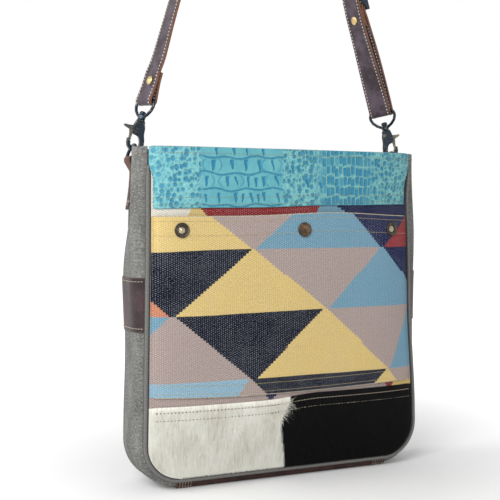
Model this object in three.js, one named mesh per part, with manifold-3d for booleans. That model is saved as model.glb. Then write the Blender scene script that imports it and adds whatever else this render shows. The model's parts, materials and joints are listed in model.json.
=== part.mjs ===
// A boxy crossbody bag that stands on its leather base: canvas gusset and back, piped patchwork front with a
// snapped pocket, open zip mouth, ring tabs, D-rings, swivel trigger clasps and a leather shoulder strap.
// Millimetres. +Z up, the front faces -Y, +X is the wearer's right-hand side of the picture. The origin is the
// middle of the base's underside.
import * as THREE from "three";
import { mergeVertices } from "three/addons/utils/BufferGeometryUtils.js";
import Module from "manifold-3d";

const wasm = await Module();
wasm.setup();

const { smoothstep, lerp, degToRad } = THREE.MathUtils;

// Clearances between separate pieces
const gap = 0.3;
const pivotGap = 0.3;

// Bag body
const bagHeight = 320;
const topWidth = 282; // between the front seams at the top edge
const lowWidth = 292; // between the front seams just above the lower corners
const cornerRadius = 35;
const seamLift = 9; // height of the bottom seam above the base's underside
const seamDepth = 27; // half the distance from the front seam to the back seam
const mouthPinch = 3; // how much less that is at the mouth
const frontBow = 10; // how far the filled front stands in front of its seams
const backBow = 7;
const panelThickness = 2.4;
const pipingRadius = 2.4;
const pipingTop = bagHeight - 17;
const pinchBottom = bagHeight - 120; // where the mouth starts to narrow

// Canvas gusset
const gussetThickness = 1.6;
const sideBulge = 14;
const mouthBulge = 12.5;
const foldDepth = 12.5; // the pleat in which the ring tab lies
const foldTop = bagHeight - 20;
const foldBottom = foldTop - 110;
const foldTuck = 6.5; // how much deeper the pleat is beside the clasp, above foldTop
const mouthDip = 7; // how much lower the gusset's top edge is in the pleat
const dipFade = 42; // how far along the seam the dip fades out
const baseFlat = 0.85; // share of the base's depth that is flat

// Patches on the front, as heights above the base
const bandBottom = bagHeight - 56;
const bandThickness = 1.3;
const hideTop = 77;
const hideThickness = 1.6;
const pocketBottom = hideTop + 6;
const pocketTop = bandBottom - 9;
const pocketThickness = 1.6;
const pocketEase = 3.7; // how far the pocket's mouth stands off the front

// Leather on the gusset
const sideBandBottom = 149;
const sideBandTop = sideBandBottom + 50;
const sideBandThickness = 1.8;
const baseLeatherThickness = 1.6;
const baseLeatherLength = 226;

// Press snaps
const snapAcross = [-113.6, 11.4, 115.3];
const snapHeight = pocketTop - 12;
const capRadius = 7;
const socketRadius = 5.6;
const studRadius = 5.6;
const studPostRadius = 1.7;

// Hardware line: each D-ring, clasp and strap leg lies along one line that leans inwards
const strapSetback = 12; // behind the middle of the bag
const pullLean = degToRad(16.5);
const wireAcross = topWidth / 2 + 2; // where the D-ring's wire sits in the hook
const wireHeight = bagHeight + 3.5;
const tabWidth = 18;
const tabBottom = bagHeight - 58;
const tabPly = 1.5;
const tabRivetRise = 7;
const dRingWire = 1.7;
const dRingArc = 11.7;
const dRingReach = 14.5; // from the middle of its bar to the middle of its arc's wire

// Clasp
const claspThickness = 4.5;
const triggerThickness = 2.1;
const pinRadius = 0.9;
const stemRadius = 1.7;
const stemHeadRadius = 3.2;
const bossBottom = 24.8;
const bossTop = 29.3;
const bossRadius = 3.75;
const ringWire = 1.6;
const ringBar = 43.5; // from the D-ring's wire to the ring's bar

// Strap
const strapWidth = 25;
const strapThickness = 2.4;
const strapApexRadius = 28;
const strapTailEnd = 72;
const leftTwist = [degToRad(15), degToRad(6)]; // how far the strap is turned to the front at its ring and above
const rightTwist = [degToRad(27), degToRad(8)];
const legBottom = 120; // where the strap is one ply above its tail
const legMiddle = 240;
const twistTop = 330; // where the strap lies straight again
const leftRivetAt = 63.5;
const rightRivetAt = 143;
const slideAt = 164;
const slidePitch = 12;
const slideRadius = 1.6;
const rivetRadius = 4.4;
const rivetDome = 1.3;

// Zip
const zipDrop = 7;
const tapeThickness = 1;
const zipHalfLength = 120;
const zipSpread = 11;
const zipRowGap = 1.9; // from the middle line to a tape's edge where the zip is shut
const toothPitch = 5;
const toothLength = 1.5;
const toothHeight = 2.2;
const sliderAt = 110;

const colours = {
  canvas: { color: 0x85857f, roughness: 0.95 },
  piping: { color: 0x75746a, roughness: 0.95 },
  lining: { color: 0xb9ac93, roughness: 0.95 },
  turquoise: { color: 0x6cb8c6, roughness: 0.45 },
  kilim: { color: 0xd8c28a, roughness: 0.95 },
  hide: { color: 0xd0cfc8, roughness: 0.8 },
  leather: { color: 0x4a3438, roughness: 0.5 },
  gunmetal: { color: 0x3a4248, roughness: 0.35, metalness: 1 },
  brass: { color: 0xc9a45c, roughness: 0.3, metalness: 1 },
  tape: { color: 0x35302c, roughness: 0.9 },
};

// Turns a geometry into a solid that can be cut and joined.
function solid(geometry) {
  const plain = geometry.clone();
  plain.deleteAttribute("normal");
  plain.deleteAttribute("uv");
  const merged = mergeVertices(plain, 1e-4);
  const corners = merged.index.array;
  const kept = [];
  for (let i = 0; i < corners.length; i += 3) {
    const [a, b, c] = corners.slice(i, i + 3);
    if (a !== b && b !== c && c !== a) kept.push(a, b, c);
  }
  return new wasm.Manifold(
    new wasm.Mesh({
      numProp: 3,
      vertProperties: new Float32Array(merged.attributes.position.array),
      triVerts: new Uint32Array(kept),
    }),
  );
}

// Turns a solid back into a geometry.
function geometryOf(body) {
  const mesh = body.getMesh();
  const geometry = new THREE.BufferGeometry();
  geometry.setAttribute("position", new THREE.BufferAttribute(mesh.vertProperties, 3));
  geometry.setIndex(new THREE.BufferAttribute(mesh.triVerts, 1));
  return geometry;
}

// A closed geometry from points and triangles, turned so that its faces point out.
function closed(points, triangles) {
  let volume = 0;
  for (const [a, b, c] of triangles) {
    volume += points[a].dot(points[b].clone().cross(points[c]));
  }
  const index = triangles.flatMap(([a, b, c]) => (volume < 0 ? [a, c, b] : [a, b, c]));
  const geometry = new THREE.BufferGeometry();
  geometry.setAttribute("position", new THREE.Float32BufferAttribute(points.flatMap((p) => p.toArray()), 3));
  geometry.setIndex(index);
  return geometry;
}

// A skin between two faces that share one grid, with a wall round its rim. Each face takes two grid values.
function skin(rows, columns, outer, inner) {
  const points = [];
  for (const face of [outer, inner]) {
    for (const row of rows) {
      for (const column of columns) points.push(face(row, column));
    }
  }
  const across = columns.length;
  const down = rows.length;
  const layer = across * down;
  const triangles = [];
  const quad = (a, b, c, d) => triangles.push([a, b, c], [a, c, d]);
  for (let i = 0; i < down - 1; i++) {
    for (let j = 0; j < across - 1; j++) {
      const a = i * across + j;
      quad(a, a + 1, a + across + 1, a + across);
      quad(layer + a, layer + a + across, layer + a + across + 1, layer + a + 1);
    }
  }
  for (let j = 0; j < across - 1; j++) {
    const last = (down - 1) * across + j;
    quad(j, layer + j, layer + j + 1, j + 1);
    quad(last, last + 1, layer + last + 1, layer + last);
  }
  for (let i = 0; i < down - 1; i++) {
    const left = i * across;
    const right = left + across - 1;
    quad(left, left + across, layer + left + across, layer + left);
    quad(right, layer + right, layer + right + across, right + across);
  }
  return closed(points, triangles);
}

// A solid through closed rings of equal point counts, capped at both ends.
function loft(rings) {
  const points = rings.flat();
  const around = rings[0].length;
  const triangles = [];
  for (let i = 0; i < rings.length - 1; i++) {
    for (let j = 0; j < around; j++) {
      const a = i * around + j;
      const b = i * around + ((j + 1) % around);
      triangles.push([a, b, b + around], [a, b + around, a + around]);
    }
  }
  for (const [ring, flip] of [[0, true], [rings.length - 1, false]]) {
    const base = ring * around;
    for (let j = 1; j < around - 1; j++) {
      triangles.push(flip ? [base, base + j + 1, base + j] : [base, base + j, base + j + 1]);
    }
  }
  return closed(points, triangles);
}

// A round wire along a closed flat loop of points.
function wireLoop(centres, planeNormal, radius, sides) {
  const points = [];
  const count = centres.length;
  centres.forEach((centre, i) => {
    const before = centres[(i + count - 1) % count];
    const after = centres[(i + 1) % count];
    const tangent = after.clone().sub(before).normalize();
    const aside = tangent.clone().cross(planeNormal).normalize();
    for (let j = 0; j < sides; j++) {
      const angle = (2 * Math.PI * (j + 0.5)) / sides;
      points.push(
        centre
          .clone()
          .addScaledVector(aside, radius * Math.cos(angle))
          .addScaledVector(planeNormal, radius * Math.sin(angle)),
      );
    }
  });
  const triangles = [];
  for (let i = 0; i < count; i++) {
    for (let j = 0; j < sides; j++) {
      const a = i * sides + j;
      const b = i * sides + ((j + 1) % sides);
      const c = ((i + 1) % count) * sides + ((j + 1) % sides);
      const d = ((i + 1) % count) * sides + j;
      triangles.push([a, b, c], [a, c, d]);
    }
  }
  return closed(points, triangles);
}

const steps = (from, to, count) => Array.from({ length: count + 1 }, (_, i) => lerp(from, to, i / count));

// Half the front's width between its seams at a height, with the outline moved in by an inset.
function halfWidth(z, inset = 0) {
  const cornerTop = seamLift + cornerRadius;
  if (z >= cornerTop) {
    return lerp(lowWidth, topWidth, (z - cornerTop) / (bagHeight - cornerTop)) / 2 - inset;
  }
  const rise = cornerTop - z;
  const radius = cornerRadius - inset;
  return lowWidth / 2 - cornerRadius + Math.sqrt(Math.max(0, radius * radius - rise * rise));
}

// Heights for the rows of a panel: close together round the lower corners, even above them.
function panelRows(bottom, top, inset, even) {
  const cornerTop = seamLift + cornerRadius;
  const rows = [];
  if (bottom < cornerTop) {
    const radius = cornerRadius - inset;
    for (const angle of steps(0, Math.PI / 2, 7)) {
      const z = cornerTop - radius * Math.cos(angle);
      if (z < top) rows.push(z);
    }
    rows.pop();
    bottom = cornerTop;
  }
  if (bottom >= top) return [...rows, top];
  rows.push(...steps(bottom, top, even));
  if (bottom < pipingTop && top > pipingTop) {
    const stepped = rows.filter((z) => Math.abs(z - pipingTop) > 4);
    return [...stepped, pipingTop, pipingTop + gap + 0.1].sort((a, b) => a - b);
  }
  return rows;
}

const seamDepthAt = (z) => seamDepth - mouthPinch * smoothstep(z, pinchBottom, bagHeight);

// How far a panel's outer face stands from the middle plane.
function panelDepth(x, z, bow) {
  const share = Math.min(1, Math.abs(x) / halfWidth(z));
  const fill = smoothstep(z, 0, 70) * (1 - 0.2 * smoothstep(z, pinchBottom, bagHeight));
  return seamDepthAt(z) + bow * (1 - share ** 5) * fill;
}

const panelShares = [-1, -0.94, -0.87, -0.79, -0.7, -0.56, -0.35, 0, 0.35, 0.56, 0.7, 0.79, 0.87, 0.94, 1];

// A layer that follows the front (side -1) or the back (side 1), off its outer face by a lift.
function panelLayer({ side, bow, bottom, top, inset, lift, thickness, even, ease }) {
  const rows = panelRows(bottom, top, inset, even);
  const face = (off) => (z, share) => {
    const reach = z > pipingTop ? inset - pipingRadius : inset;
    const x = share * halfWidth(z, reach);
    const stand = ease ? ease(x, z) : 0;
    return new THREE.Vector3(x, side * (panelDepth(x, z, bow) + lift + stand + off), z);
  };
  return skin(rows, panelShares, face(thickness), face(0));
}

// The seam as a path in the X-Z plane: down the left side, round the corners, along the base and up the right.
const cornerTopZ = seamLift + cornerRadius;
const sideRun = Math.hypot((lowWidth - topWidth) / 2, bagHeight - cornerTopZ);
const cornerRun = (cornerRadius * Math.PI) / 2;
const baseRun = lowWidth / 2 - cornerRadius;
const halfRun = sideRun + cornerRun + baseRun;

function seamAt(distance) {
  if (distance > halfRun) {
    const twin = seamAt(2 * halfRun - distance);
    return { x: -twin.x, z: twin.z, nx: -twin.nx, nz: twin.nz };
  }
  if (distance <= sideRun) {
    const share = distance / sideRun;
    return { x: lerp(-topWidth, -lowWidth, share) / 2, z: lerp(bagHeight, cornerTopZ, share), nx: -1, nz: 0 };
  }
  if (distance <= sideRun + cornerRun) {
    const angle = (distance - sideRun) / cornerRadius;
    const nx = -Math.cos(angle);
    const nz = -Math.sin(angle);
    return { x: -baseRun + cornerRadius * nx, z: cornerTopZ + cornerRadius * nz, nx, nz };
  }
  return { x: -(halfRun - distance), z: seamLift, nx: 0, nz: -1 };
}

const seamDistanceAtHeight = (z) => ((bagHeight - z) / (bagHeight - cornerTopZ)) * sideRun;

const pleatAt = (t) => smoothstep(t, -0.5, -0.12) * (1 - smoothstep(t, 0.86, 1));

// How far the gusset stands outside its seams: an arch on the sides with a pleat behind its front ridge, and a
// flat run under the base.
function gussetBulge(distance, t) {
  const near = Math.min(distance, 2 * halfRun - distance);
  const { z } = seamAt(near);
  const arch = Math.max(0, 1 - t ** 4) ** 0.8;
  const ridge = lerp(sideBulge, mouthBulge, smoothstep(z, pinchBottom, bagHeight));
  const depth = foldDepth * smoothstep(z, foldBottom, foldTop) + foldTuck * smoothstep(z, foldTop - 4, foldTop + 10);
  const side = ridge * arch - depth * pleatAt(t);
  const drop = seamLift - baseLeatherThickness - gap;
  const under = drop * (1 - smoothstep(Math.abs(t), baseFlat, 1));
  return lerp(side, under, smoothstep(near, sideRun, sideRun + cornerRun));
}

const gussetEdge = pipingRadius + gap;

// A point of the gusset's outer face: a distance along the seam and a share of the depth from -1 to 1. The top
// edge dips in the pleat, so that the clasp swings clear of it.
function gussetPoint(run, t) {
  const fromEnd = Math.min(run, 2 * halfRun - run);
  const dip = mouthDip * pleatAt(t) * (1 - smoothstep(fromEnd, 0, dipFade));
  const distance = run < halfRun ? run + dip : run - dip;
  const seam = seamAt(distance);
  const out = gussetBulge(distance, t);
  const depth = seamDepthAt(seam.z) - gussetEdge;
  return new THREE.Vector3(seam.x + seam.nx * out, t * depth, seam.z + seam.nz * out);
}

// The same point moved out along the surface's own normal.
function offGusset(distance, t, lift) {
  const step = 0.01;
  const along = gussetPoint(distance + step, t).sub(gussetPoint(distance - step, t));
  const low = Math.max(-1, t - step);
  const high = Math.min(1, t + step);
  const across = gussetPoint(distance, high).sub(gussetPoint(distance, low));
  const normal = across.cross(along).normalize();
  return gussetPoint(distance, t).addScaledVector(normal, lift);
}

// A layer on the gusset between two distances along the seam and two shares of its depth.
function gussetLayer(distances, depths, lift, thickness) {
  return skin(
    distances,
    depths,
    (distance, t) => offGusset(distance, t, lift + thickness),
    (distance, t) => offGusset(distance, t, lift),
  );
}

function gussetDistances() {
  const mouth = seamDistanceAtHeight(foldTop - 6);
  const side = [...steps(0, mouth, 4), ...steps(mouth, sideRun, 11).slice(1)];
  const corner = steps(sideRun, sideRun + cornerRun, 6).slice(1);
  const half = [...side, ...corner];
  const mirrored = half.map((distance) => 2 * halfRun - distance).reverse();
  return [...half, halfRun, ...mirrored];
}

const gussetDepths = [-1, -0.94, -0.82, -0.64, -0.48, -0.3, -0.12, 0.2, 0.6, 0.84, 0.94, 1];

// Piping: a round cord along the seam, covered in canvas.
function pipingGeometry(side) {
  const start = seamDistanceAtHeight(pipingTop);
  const straight = steps(start, sideRun, 9);
  const corner = steps(sideRun, sideRun + cornerRun, 6).slice(1);
  const half = [...straight, ...corner];
  const all = [...half, halfRun, ...half.map((distance) => 2 * halfRun - distance).reverse()];
  const rings = all.map((distance) => {
    const seam = seamAt(distance);
    const centre = new THREE.Vector3(seam.x, side * seamDepthAt(seam.z), seam.z);
    const out = new THREE.Vector3(seam.nx, 0, seam.nz);
    return steps(0, 7, 7).map((j) => {
      const angle = (2 * Math.PI * (j + 0.5)) / 8;
      const ring = centre.clone().addScaledVector(out, pipingRadius * Math.cos(angle));
      ring.y += pipingRadius * Math.sin(angle);
      return ring;
    });
  });
  return loft(rings);
}

// Lining: an open sack that hangs just inside the panels.
function liningGeometry() {
  const top = bagHeight - zipDrop - 5;
  const level = (z, inset) => {
    const mouth = (foldTuck + 1) * smoothstep(z, foldTop - 50, foldTop);
    const reach = halfWidth(Math.max(z, seamLift + inset + 0.01), inset + 3) - mouth;
    return steps(0, 31, 31).map((j) => {
      const angle = (2 * Math.PI * j) / 32;
      const x = reach * Math.sign(Math.cos(angle)) * Math.abs(Math.cos(angle)) ** 0.55;
      const round = Math.max(0, 1 - Math.abs(x / reach) ** 14) ** 0.5;
      const bow = Math.sin(angle) < 0 ? frontBow : backBow;
      const y = Math.sign(Math.sin(angle)) * (panelDepth(x, z, bow) - panelThickness - inset) * round;
      return new THREE.Vector3(x, y, z);
    });
  };
  const floor = seamLift + 5;
  const heights = [0, 3, 9, 18, 30, 60, 110, 170, 230, top - floor].map((rise) => floor + rise);
  const sack = loft(heights.map((z) => level(z, gap + 0.4)));
  const inside = loft([...heights.slice(1), top + 5].map((z) => level(z, gap + 1.4)));
  return geometryOf(solid(sack).subtract(solid(inside)));
}

// Each side's hardware frame: w runs up the line of pull, v points outwards from the bag.
function onPull(side, w, v = 0, y = strapSetback) {
  const sin = Math.sin(pullLean);
  const cos = Math.cos(pullLean);
  return new THREE.Vector3(side * (wireAcross - w * sin + v * cos), y, wireHeight + w * cos + v * sin);
}

// Places a geometry made in (v, w) with its thickness along local z onto one side's line of pull.
function placeOnPull(geometry, side) {
  const origin = onPull(side, 0);
  const outward = onPull(side, 0, 1).sub(origin);
  const up = onPull(side, 1).sub(origin);
  const normal = outward.clone().cross(up);
  const matrix = new THREE.Matrix4().makeBasis(outward, up, normal).setPosition(origin);
  return geometry.applyMatrix4(matrix);
}

// A flat plate from an outline of (v, w) pairs, centred on its own plane.
function plate(outline, thickness, bevel) {
  const shape = new THREE.Shape(outline.map(([v, w]) => new THREE.Vector2(v, w)));
  const geometry = new THREE.ExtrudeGeometry(shape, {
    depth: thickness - 2 * bevel,
    bevelEnabled: bevel > 0,
    bevelThickness: bevel,
    bevelSize: bevel,
    bevelOffset: -bevel,
    bevelSegments: 1,
  });
  return geometry.translate(0, 0, -thickness / 2 + bevel);
}

// A round bar along local z.
function bar(radius, length, v = 0, w = 0, sides = 12) {
  return new THREE.CylinderGeometry(radius, radius, length, sides).rotateX(Math.PI / 2).translate(v, w, 0);
}

// A turned piece about the local w axis from (radius, w) pairs.
function turned(profile, sides = 12) {
  return new THREE.LatheGeometry(profile.map(([r, w]) => new THREE.Vector2(r, w)), sides);
}

function dRingGeometry(side) {
  const arcCentre = -dRingArc;
  const corner = 2;
  const centres = [];
  for (const angle of steps(0, Math.PI, 14)) {
    centres.push([Math.cos(angle) * dRingArc, arcCentre + Math.sin(angle) * dRingArc]);
  }
  const turnCorner = (sign) => {
    for (const angle of steps(0, Math.PI / 2, 3)) {
      const turn = sign < 0 ? angle : Math.PI / 2 - angle;
      centres.push([
        sign * (dRingArc - corner + corner * Math.cos(turn)),
        -dRingReach + corner - corner * Math.sin(turn),
      ]);
    }
  };
  turnCorner(-1);
  turnCorner(1);
  const points = centres.map(([y, w]) => onPull(side, w, 0, strapSetback + y));
  const normal = onPull(side, 0, 1).sub(onPull(side, 0));
  return wireLoop(points, normal, dRingWire, 8);
}

// The leather tab that holds the D-ring's bar: both plies lie in the gusset's pleat and part round the bar.
function tabFace(z) {
  const t = (strapSetback - tabWidth / 2) / (seamDepthAt(z) - gussetEdge);
  return -gussetPoint(seamDistanceAtHeight(z), t).x;
}

function ringTabGeometry(side) {
  const barAt = onPull(1, -dRingReach);
  const loopInner = dRingWire + pivotGap;
  const loopOuter = loopInner + tabPly;
  const inner = [];
  const outer = [];
  for (const z of steps(tabBottom, barAt.z - 11, 6)) {
    inner.push(new THREE.Vector2(tabFace(z) + gap, z));
    outer.push(new THREE.Vector2(tabFace(z) + gap + 2 * tabPly, z));
  }
  inner.push(new THREE.Vector2(barAt.x - loopOuter * 0.9, barAt.z - 2));
  outer.push(new THREE.Vector2(barAt.x + loopOuter * 0.95, barAt.z - 2));
  const shape = new THREE.Shape([...inner, ...outer.reverse()]);
  const strip = new THREE.ExtrudeGeometry(shape, { depth: tabWidth, bevelEnabled: false });
  const round = new THREE.CylinderGeometry(loopOuter, loopOuter, tabWidth, 16).rotateX(Math.PI / 2);
  round.translate(barAt.x, barAt.z, tabWidth / 2);
  const bore = new THREE.CylinderGeometry(loopInner, loopInner, tabWidth + 2, 16).rotateX(Math.PI / 2);
  bore.translate(barAt.x, barAt.z, tabWidth / 2);
  const body = geometryOf(solid(strip).add(solid(round)).subtract(solid(bore)));
  const matrix = new THREE.Matrix4().makeBasis(
    new THREE.Vector3(1, 0, 0),
    new THREE.Vector3(0, 0, 1),
    new THREE.Vector3(0, -1, 0),
  );
  body.applyMatrix4(matrix).translate(0, strapSetback + tabWidth / 2, 0);
  return side > 0 ? body : mirrored(body);
}

// The same piece on the other side of the bag.
function mirrored(geometry) {
  const twin = geometry.clone().scale(-1, 1, 1);
  const index = twin.index.array;
  for (let i = 0; i < index.length; i += 3) [index[i + 1], index[i + 2]] = [index[i + 2], index[i + 1]];
  return twin;
}

// A low domed rivet head that points along local w, on a face at w = 0.
function rivetHead(radius, dome) {
  return turned([
    [0, gap],
    [radius, gap],
    [radius, gap + dome * 0.4],
    [radius * 0.72, gap + dome * 0.85],
    [0, gap + dome],
  ]);
}

function tabRivetGeometry(side) {
  const z = tabBottom + tabRivetRise;
  const lean = Math.atan2(tabFace(z + 2) - tabFace(z - 2), 4);
  const head = rivetHead(3.5, 1.6).rotateX(Math.PI / 2).rotateY(Math.PI / 2 + lean);
  head.translate(tabFace(z) + gap + 2 * tabPly, strapSetback, z);
  const geometry = mergeVertices(plainOf(head), 1e-4);
  return side > 0 ? geometry : mirrored(geometry);
}

function plainOf(geometry) {
  geometry.deleteAttribute("normal");
  geometry.deleteAttribute("uv");
  return geometry;
}

// Swivel trigger clasp, in (v, w): the D-ring's wire lies at (0, 0) and v points outwards, to the trigger.
const pivot = { v: 1.8, w: 15.5 };
const gateReach = 13.1; // from the pivot to the gate's end
const gateOuter = 7.3;
const gateInner = 4.9;
const gateEndAt = (v) => pivot.w - Math.sqrt(gateReach ** 2 - (v - pivot.v) ** 2);

const claspOutline = [
  [4, 24], [-4, 24], [-4.6, 21], [-5.8, 18], [-6.2, 13.5], [-6.6, 11], [-8.2, 6.5], [-8.9, 1.5],
  [-7.9, -2.8], [-4.9, -5.8], [-0.6, -6.7], [3.6, -5.6], [6.7, -2.9], [8, 0.8], [8.4, gateEndAt(gateOuter) + 1.1],
  [gateOuter + 0.4, gateEndAt(gateOuter) + 1.1], [gateOuter + 0.3, gateEndAt(gateOuter) - 0.6],
  [gateInner - 0.3, gateEndAt(gateInner) - 0.6], [4.5, 0], [3.2, -1.7], [1.2, -2.4], [-1.2, -2.4],
  [-3.3, -1.5], [-4.3, 0.5], [-4.3, 3.6], [-3.1, 6.8], [-1.1, 9], [1.2, 9.6], [3, 9.6], [5, 12], [5.6, 14.5],
  [5.4, 19], [4.6, 22],
];

const triggerOutline = [
  [14.2, 16.6], [15, 15.6], [14.4, 14.5], [8.6, 13], [7.7, 10], [gateOuter, 7],
  [gateOuter, gateEndAt(gateOuter)], [gateInner, gateEndAt(gateInner)], [4.8, 8], [4, 11], [1.5, 12.4],
  [-0.6, 13.6], [-1.3, 15.5], [-0.4, 17.6], [1.8, 18.6], [5, 18], [9.5, 17],
];

function claspBodyGeometry(side) {
  const slot = plate([[-2, 9.2], [17, 9.2], [17, 19.5], [-2, 19.5]], triggerThickness + 2 * pivotGap, 0);
  const bore = bar(pinRadius + pivotGap, claspThickness + 2, pivot.v, pivot.w, 10);
  const stemTop = bossTop + pivotGap;
  const collarTop = bossBottom - pivotGap;
  const neck = turned([
    [0, 23], [4, 23], [4, collarTop], [stemRadius, collarTop], [stemRadius, stemTop],
    [stemHeadRadius, stemTop], [stemHeadRadius, stemTop + 2.2], [stemHeadRadius - 1, stemTop + 3.4],
    [0, stemTop + 3.4],
  ]);
  const hook = solid(plate(claspOutline, claspThickness, 0.3)).subtract(solid(slot)).subtract(solid(bore));
  return placeOnPull(geometryOf(hook.add(solid(neck))), side);
}

function claspTriggerGeometry(side) {
  const lever = solid(plate(triggerOutline, triggerThickness, 0.2));
  const bore = solid(bar(pinRadius + pivotGap, claspThickness, pivot.v, pivot.w, 10));
  return placeOnPull(geometryOf(lever.subtract(bore)), side);
}

function triggerPinGeometry(side) {
  return placeOnPull(plainOf(bar(pinRadius, claspThickness + 0.4, pivot.v, pivot.w, 10)), side);
}

function claspRingGeometry(side) {
  const half = strapWidth / 2 + gap + 0.4 + ringWire;
  const outline = [
    [half, ringBar - 2.6], [half - 0.8, ringBar - 0.8], [half - 2.6, ringBar], [-half + 2.6, ringBar],
    [-half + 0.8, ringBar - 0.8], [-half, ringBar - 2.6], [-half, ringBar - 5.5], [-half + 1.8, ringBar - 9.5],
    [-half + 6, ringBar - 13.2], [-3, bossBottom + 2.4], [3, bossBottom + 2.4], [half - 6, ringBar - 13.2],
    [half - 1.8, ringBar - 9.5], [half, ringBar - 5.5],
  ];
  const centres = outline.map(([y, w]) => new THREE.Vector3(0, w, y));
  const loop = wireLoop(centres, new THREE.Vector3(1, 0, 0), ringWire, 8);
  const bore = stemRadius + pivotGap;
  const boss = turned([[bore, bossBottom], [bossRadius, bossBottom], [bossRadius, bossTop], [bore, bossTop],
    [bore, bossBottom]]);
  const hole = turned([[0, bossBottom - 1], [bore, bossBottom - 1], [bore, bossTop + 1], [0, bossTop + 1]]);
  return placeOnPull(geometryOf(solid(loop).add(solid(boss)).subtract(solid(hole))), side);
}

// The strap's middle line, from its left tail round the left ring, over the top, through the slide, round the
// right ring and back up to the slide's bar, as points of the X-Z plane.
const foldRadius = ringWire + gap + strapThickness / 2;
const slideFold = slideRadius + gap + strapThickness / 2;
const slideBarV = -1; // the slide's middle bar lies inside the strap's line, its outer bars outside it
const slideFrameV = 4;
const plySpacing = strapThickness + gap;

function strapLine() {
  const at = (side, w, v) => {
    const p = onPull(side, w, v);
    return new THREE.Vector2(p.x, p.z);
  };
  const turn = (side, w, v, radius, from, to, count) =>
    steps(from, to, count).map((angle) => at(side, w + radius * Math.sin(angle), v + radius * Math.cos(angle)));
  const left = [
    at(-1, strapTailEnd, -plySpacing / 2),
    at(-1, leftRivetAt, -plySpacing / 2),
    at(-1, leftRivetAt - 8, -plySpacing / 2 - 0.5),
    ...turn(-1, ringBar, 0, foldRadius, Math.PI, 2 * Math.PI, 8),
    at(-1, leftRivetAt - 8, plySpacing / 2 + 0.5),
    at(-1, leftRivetAt, plySpacing / 2),
    at(-1, strapTailEnd, plySpacing / 2),
    at(-1, strapTailEnd + 12, 0),
  ];
  const crossingZ = wireHeight + wireAcross / Math.tan(pullLean);
  const centreZ = crossingZ - strapApexRadius / Math.sin(pullLean);
  const upLeg = [...steps(legBottom, legMiddle, 2), ...steps(legMiddle, twistTop, 2).slice(1)];
  const legs = upLeg.map((w) => at(-1, w, 0));
  const arc = steps(Math.PI - pullLean, pullLean, 14).map(
    (angle) => new THREE.Vector2(strapApexRadius * Math.cos(angle), centreZ + strapApexRadius * Math.sin(angle)),
  );
  const low = slideAt - slidePitch;
  const high = slideAt + slidePitch;
  const over = slideBarV + slideFold + plySpacing;
  const beside = slideFrameV - slideFold;
  const right = [
    ...steps(twistTop, legMiddle, 2).map((w) => at(1, w, 0)),
    at(1, high + 14, 0),
    at(1, high, beside),
    at(1, slideAt + 4, over - 0.6),
    at(1, slideAt, over),
    at(1, slideAt - 4, over - 0.6),
    at(1, low, beside),
    at(1, rightRivetAt, 1.6),
    at(1, 110, 3.4),
    at(1, 70, 3.6),
    ...turn(1, ringBar, 0, foldRadius, 0, -Math.PI, 8),
    at(1, 70, -3.6),
    at(1, 110, -4.2),
    at(1, rightRivetAt, beside - 2 * plySpacing - 0.2),
    at(1, low, beside - 2 * plySpacing - 0.1),
    at(1, slideAt - 5, slideBarV - slideFold - 0.1),
    ...turn(1, slideAt, slideBarV, slideFold, Math.PI, 0, 7),
    at(1, slideAt - 3, slideBarV + slideFold - 0.5),
    at(1, low, beside - plySpacing - 0.1),
    at(1, rightRivetAt, beside - plySpacing - 0.2),
    at(1, rightRivetAt - 8, beside - plySpacing - 0.3),
  ];
  return [...left, ...legs, ...arc, ...right];
}

// How far the strap is turned about its line of pull: most at the ring, less at the slide, none over the top.
function twistAt(side, w) {
  const [atRing, above] = side < 0 ? leftTwist : rightTwist;
  const low = lerp(atRing, above, smoothstep(w, ringBar, rightRivetAt));
  return low * (1 - smoothstep(w, slideAt + slidePitch, twistTop));
}

// Turns each point of a strap piece about the line of pull of its own side.
function twisted(geometry) {
  const position = geometry.attributes.position;
  const point = new THREE.Vector3();
  for (let i = 0; i < position.count; i++) {
    point.fromBufferAttribute(position, i);
    const side = point.x < 0 ? -1 : 1;
    const origin = onPull(side, 0);
    const arm = point.clone().sub(origin);
    const outward = onPull(side, 0, 1).sub(origin);
    const w = arm.dot(onPull(side, 1).sub(origin));
    const v = arm.dot(outward);
    const turn = twistAt(side, w);
    const move = v * (Math.cos(turn) - 1) - side * arm.y * Math.sin(turn);
    point.y = strapSetback + arm.y * Math.cos(turn) + side * v * Math.sin(turn);
    point.x += outward.x * move;
    point.z += outward.z * move;
    position.setXYZ(i, point.x, point.y, point.z);
  }
  return geometry;
}

// A ribbon of even thickness along a flat line of points, as wide as asked along Y.
function ribbon(line, thickness, width) {
  const side = (sign) =>
    line.map((point, i) => {
      const before = line[Math.max(0, i - 1)];
      const after = line[Math.min(line.length - 1, i + 1)];
      const tangent = after.clone().sub(before).normalize();
      return new THREE.Vector2(-tangent.y, tangent.x).multiplyScalar((sign * thickness) / 2).add(point);
    });
  const near = side(1);
  const far = side(-1);
  const rows = line.map((_, i) => i);
  return skin(
    rows,
    [-width / 2, width / 2],
    (i, y) => new THREE.Vector3(near[i].x, strapSetback + y, near[i].y),
    (i, y) => new THREE.Vector3(far[i].x, strapSetback + y, far[i].y),
  );
}

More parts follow.
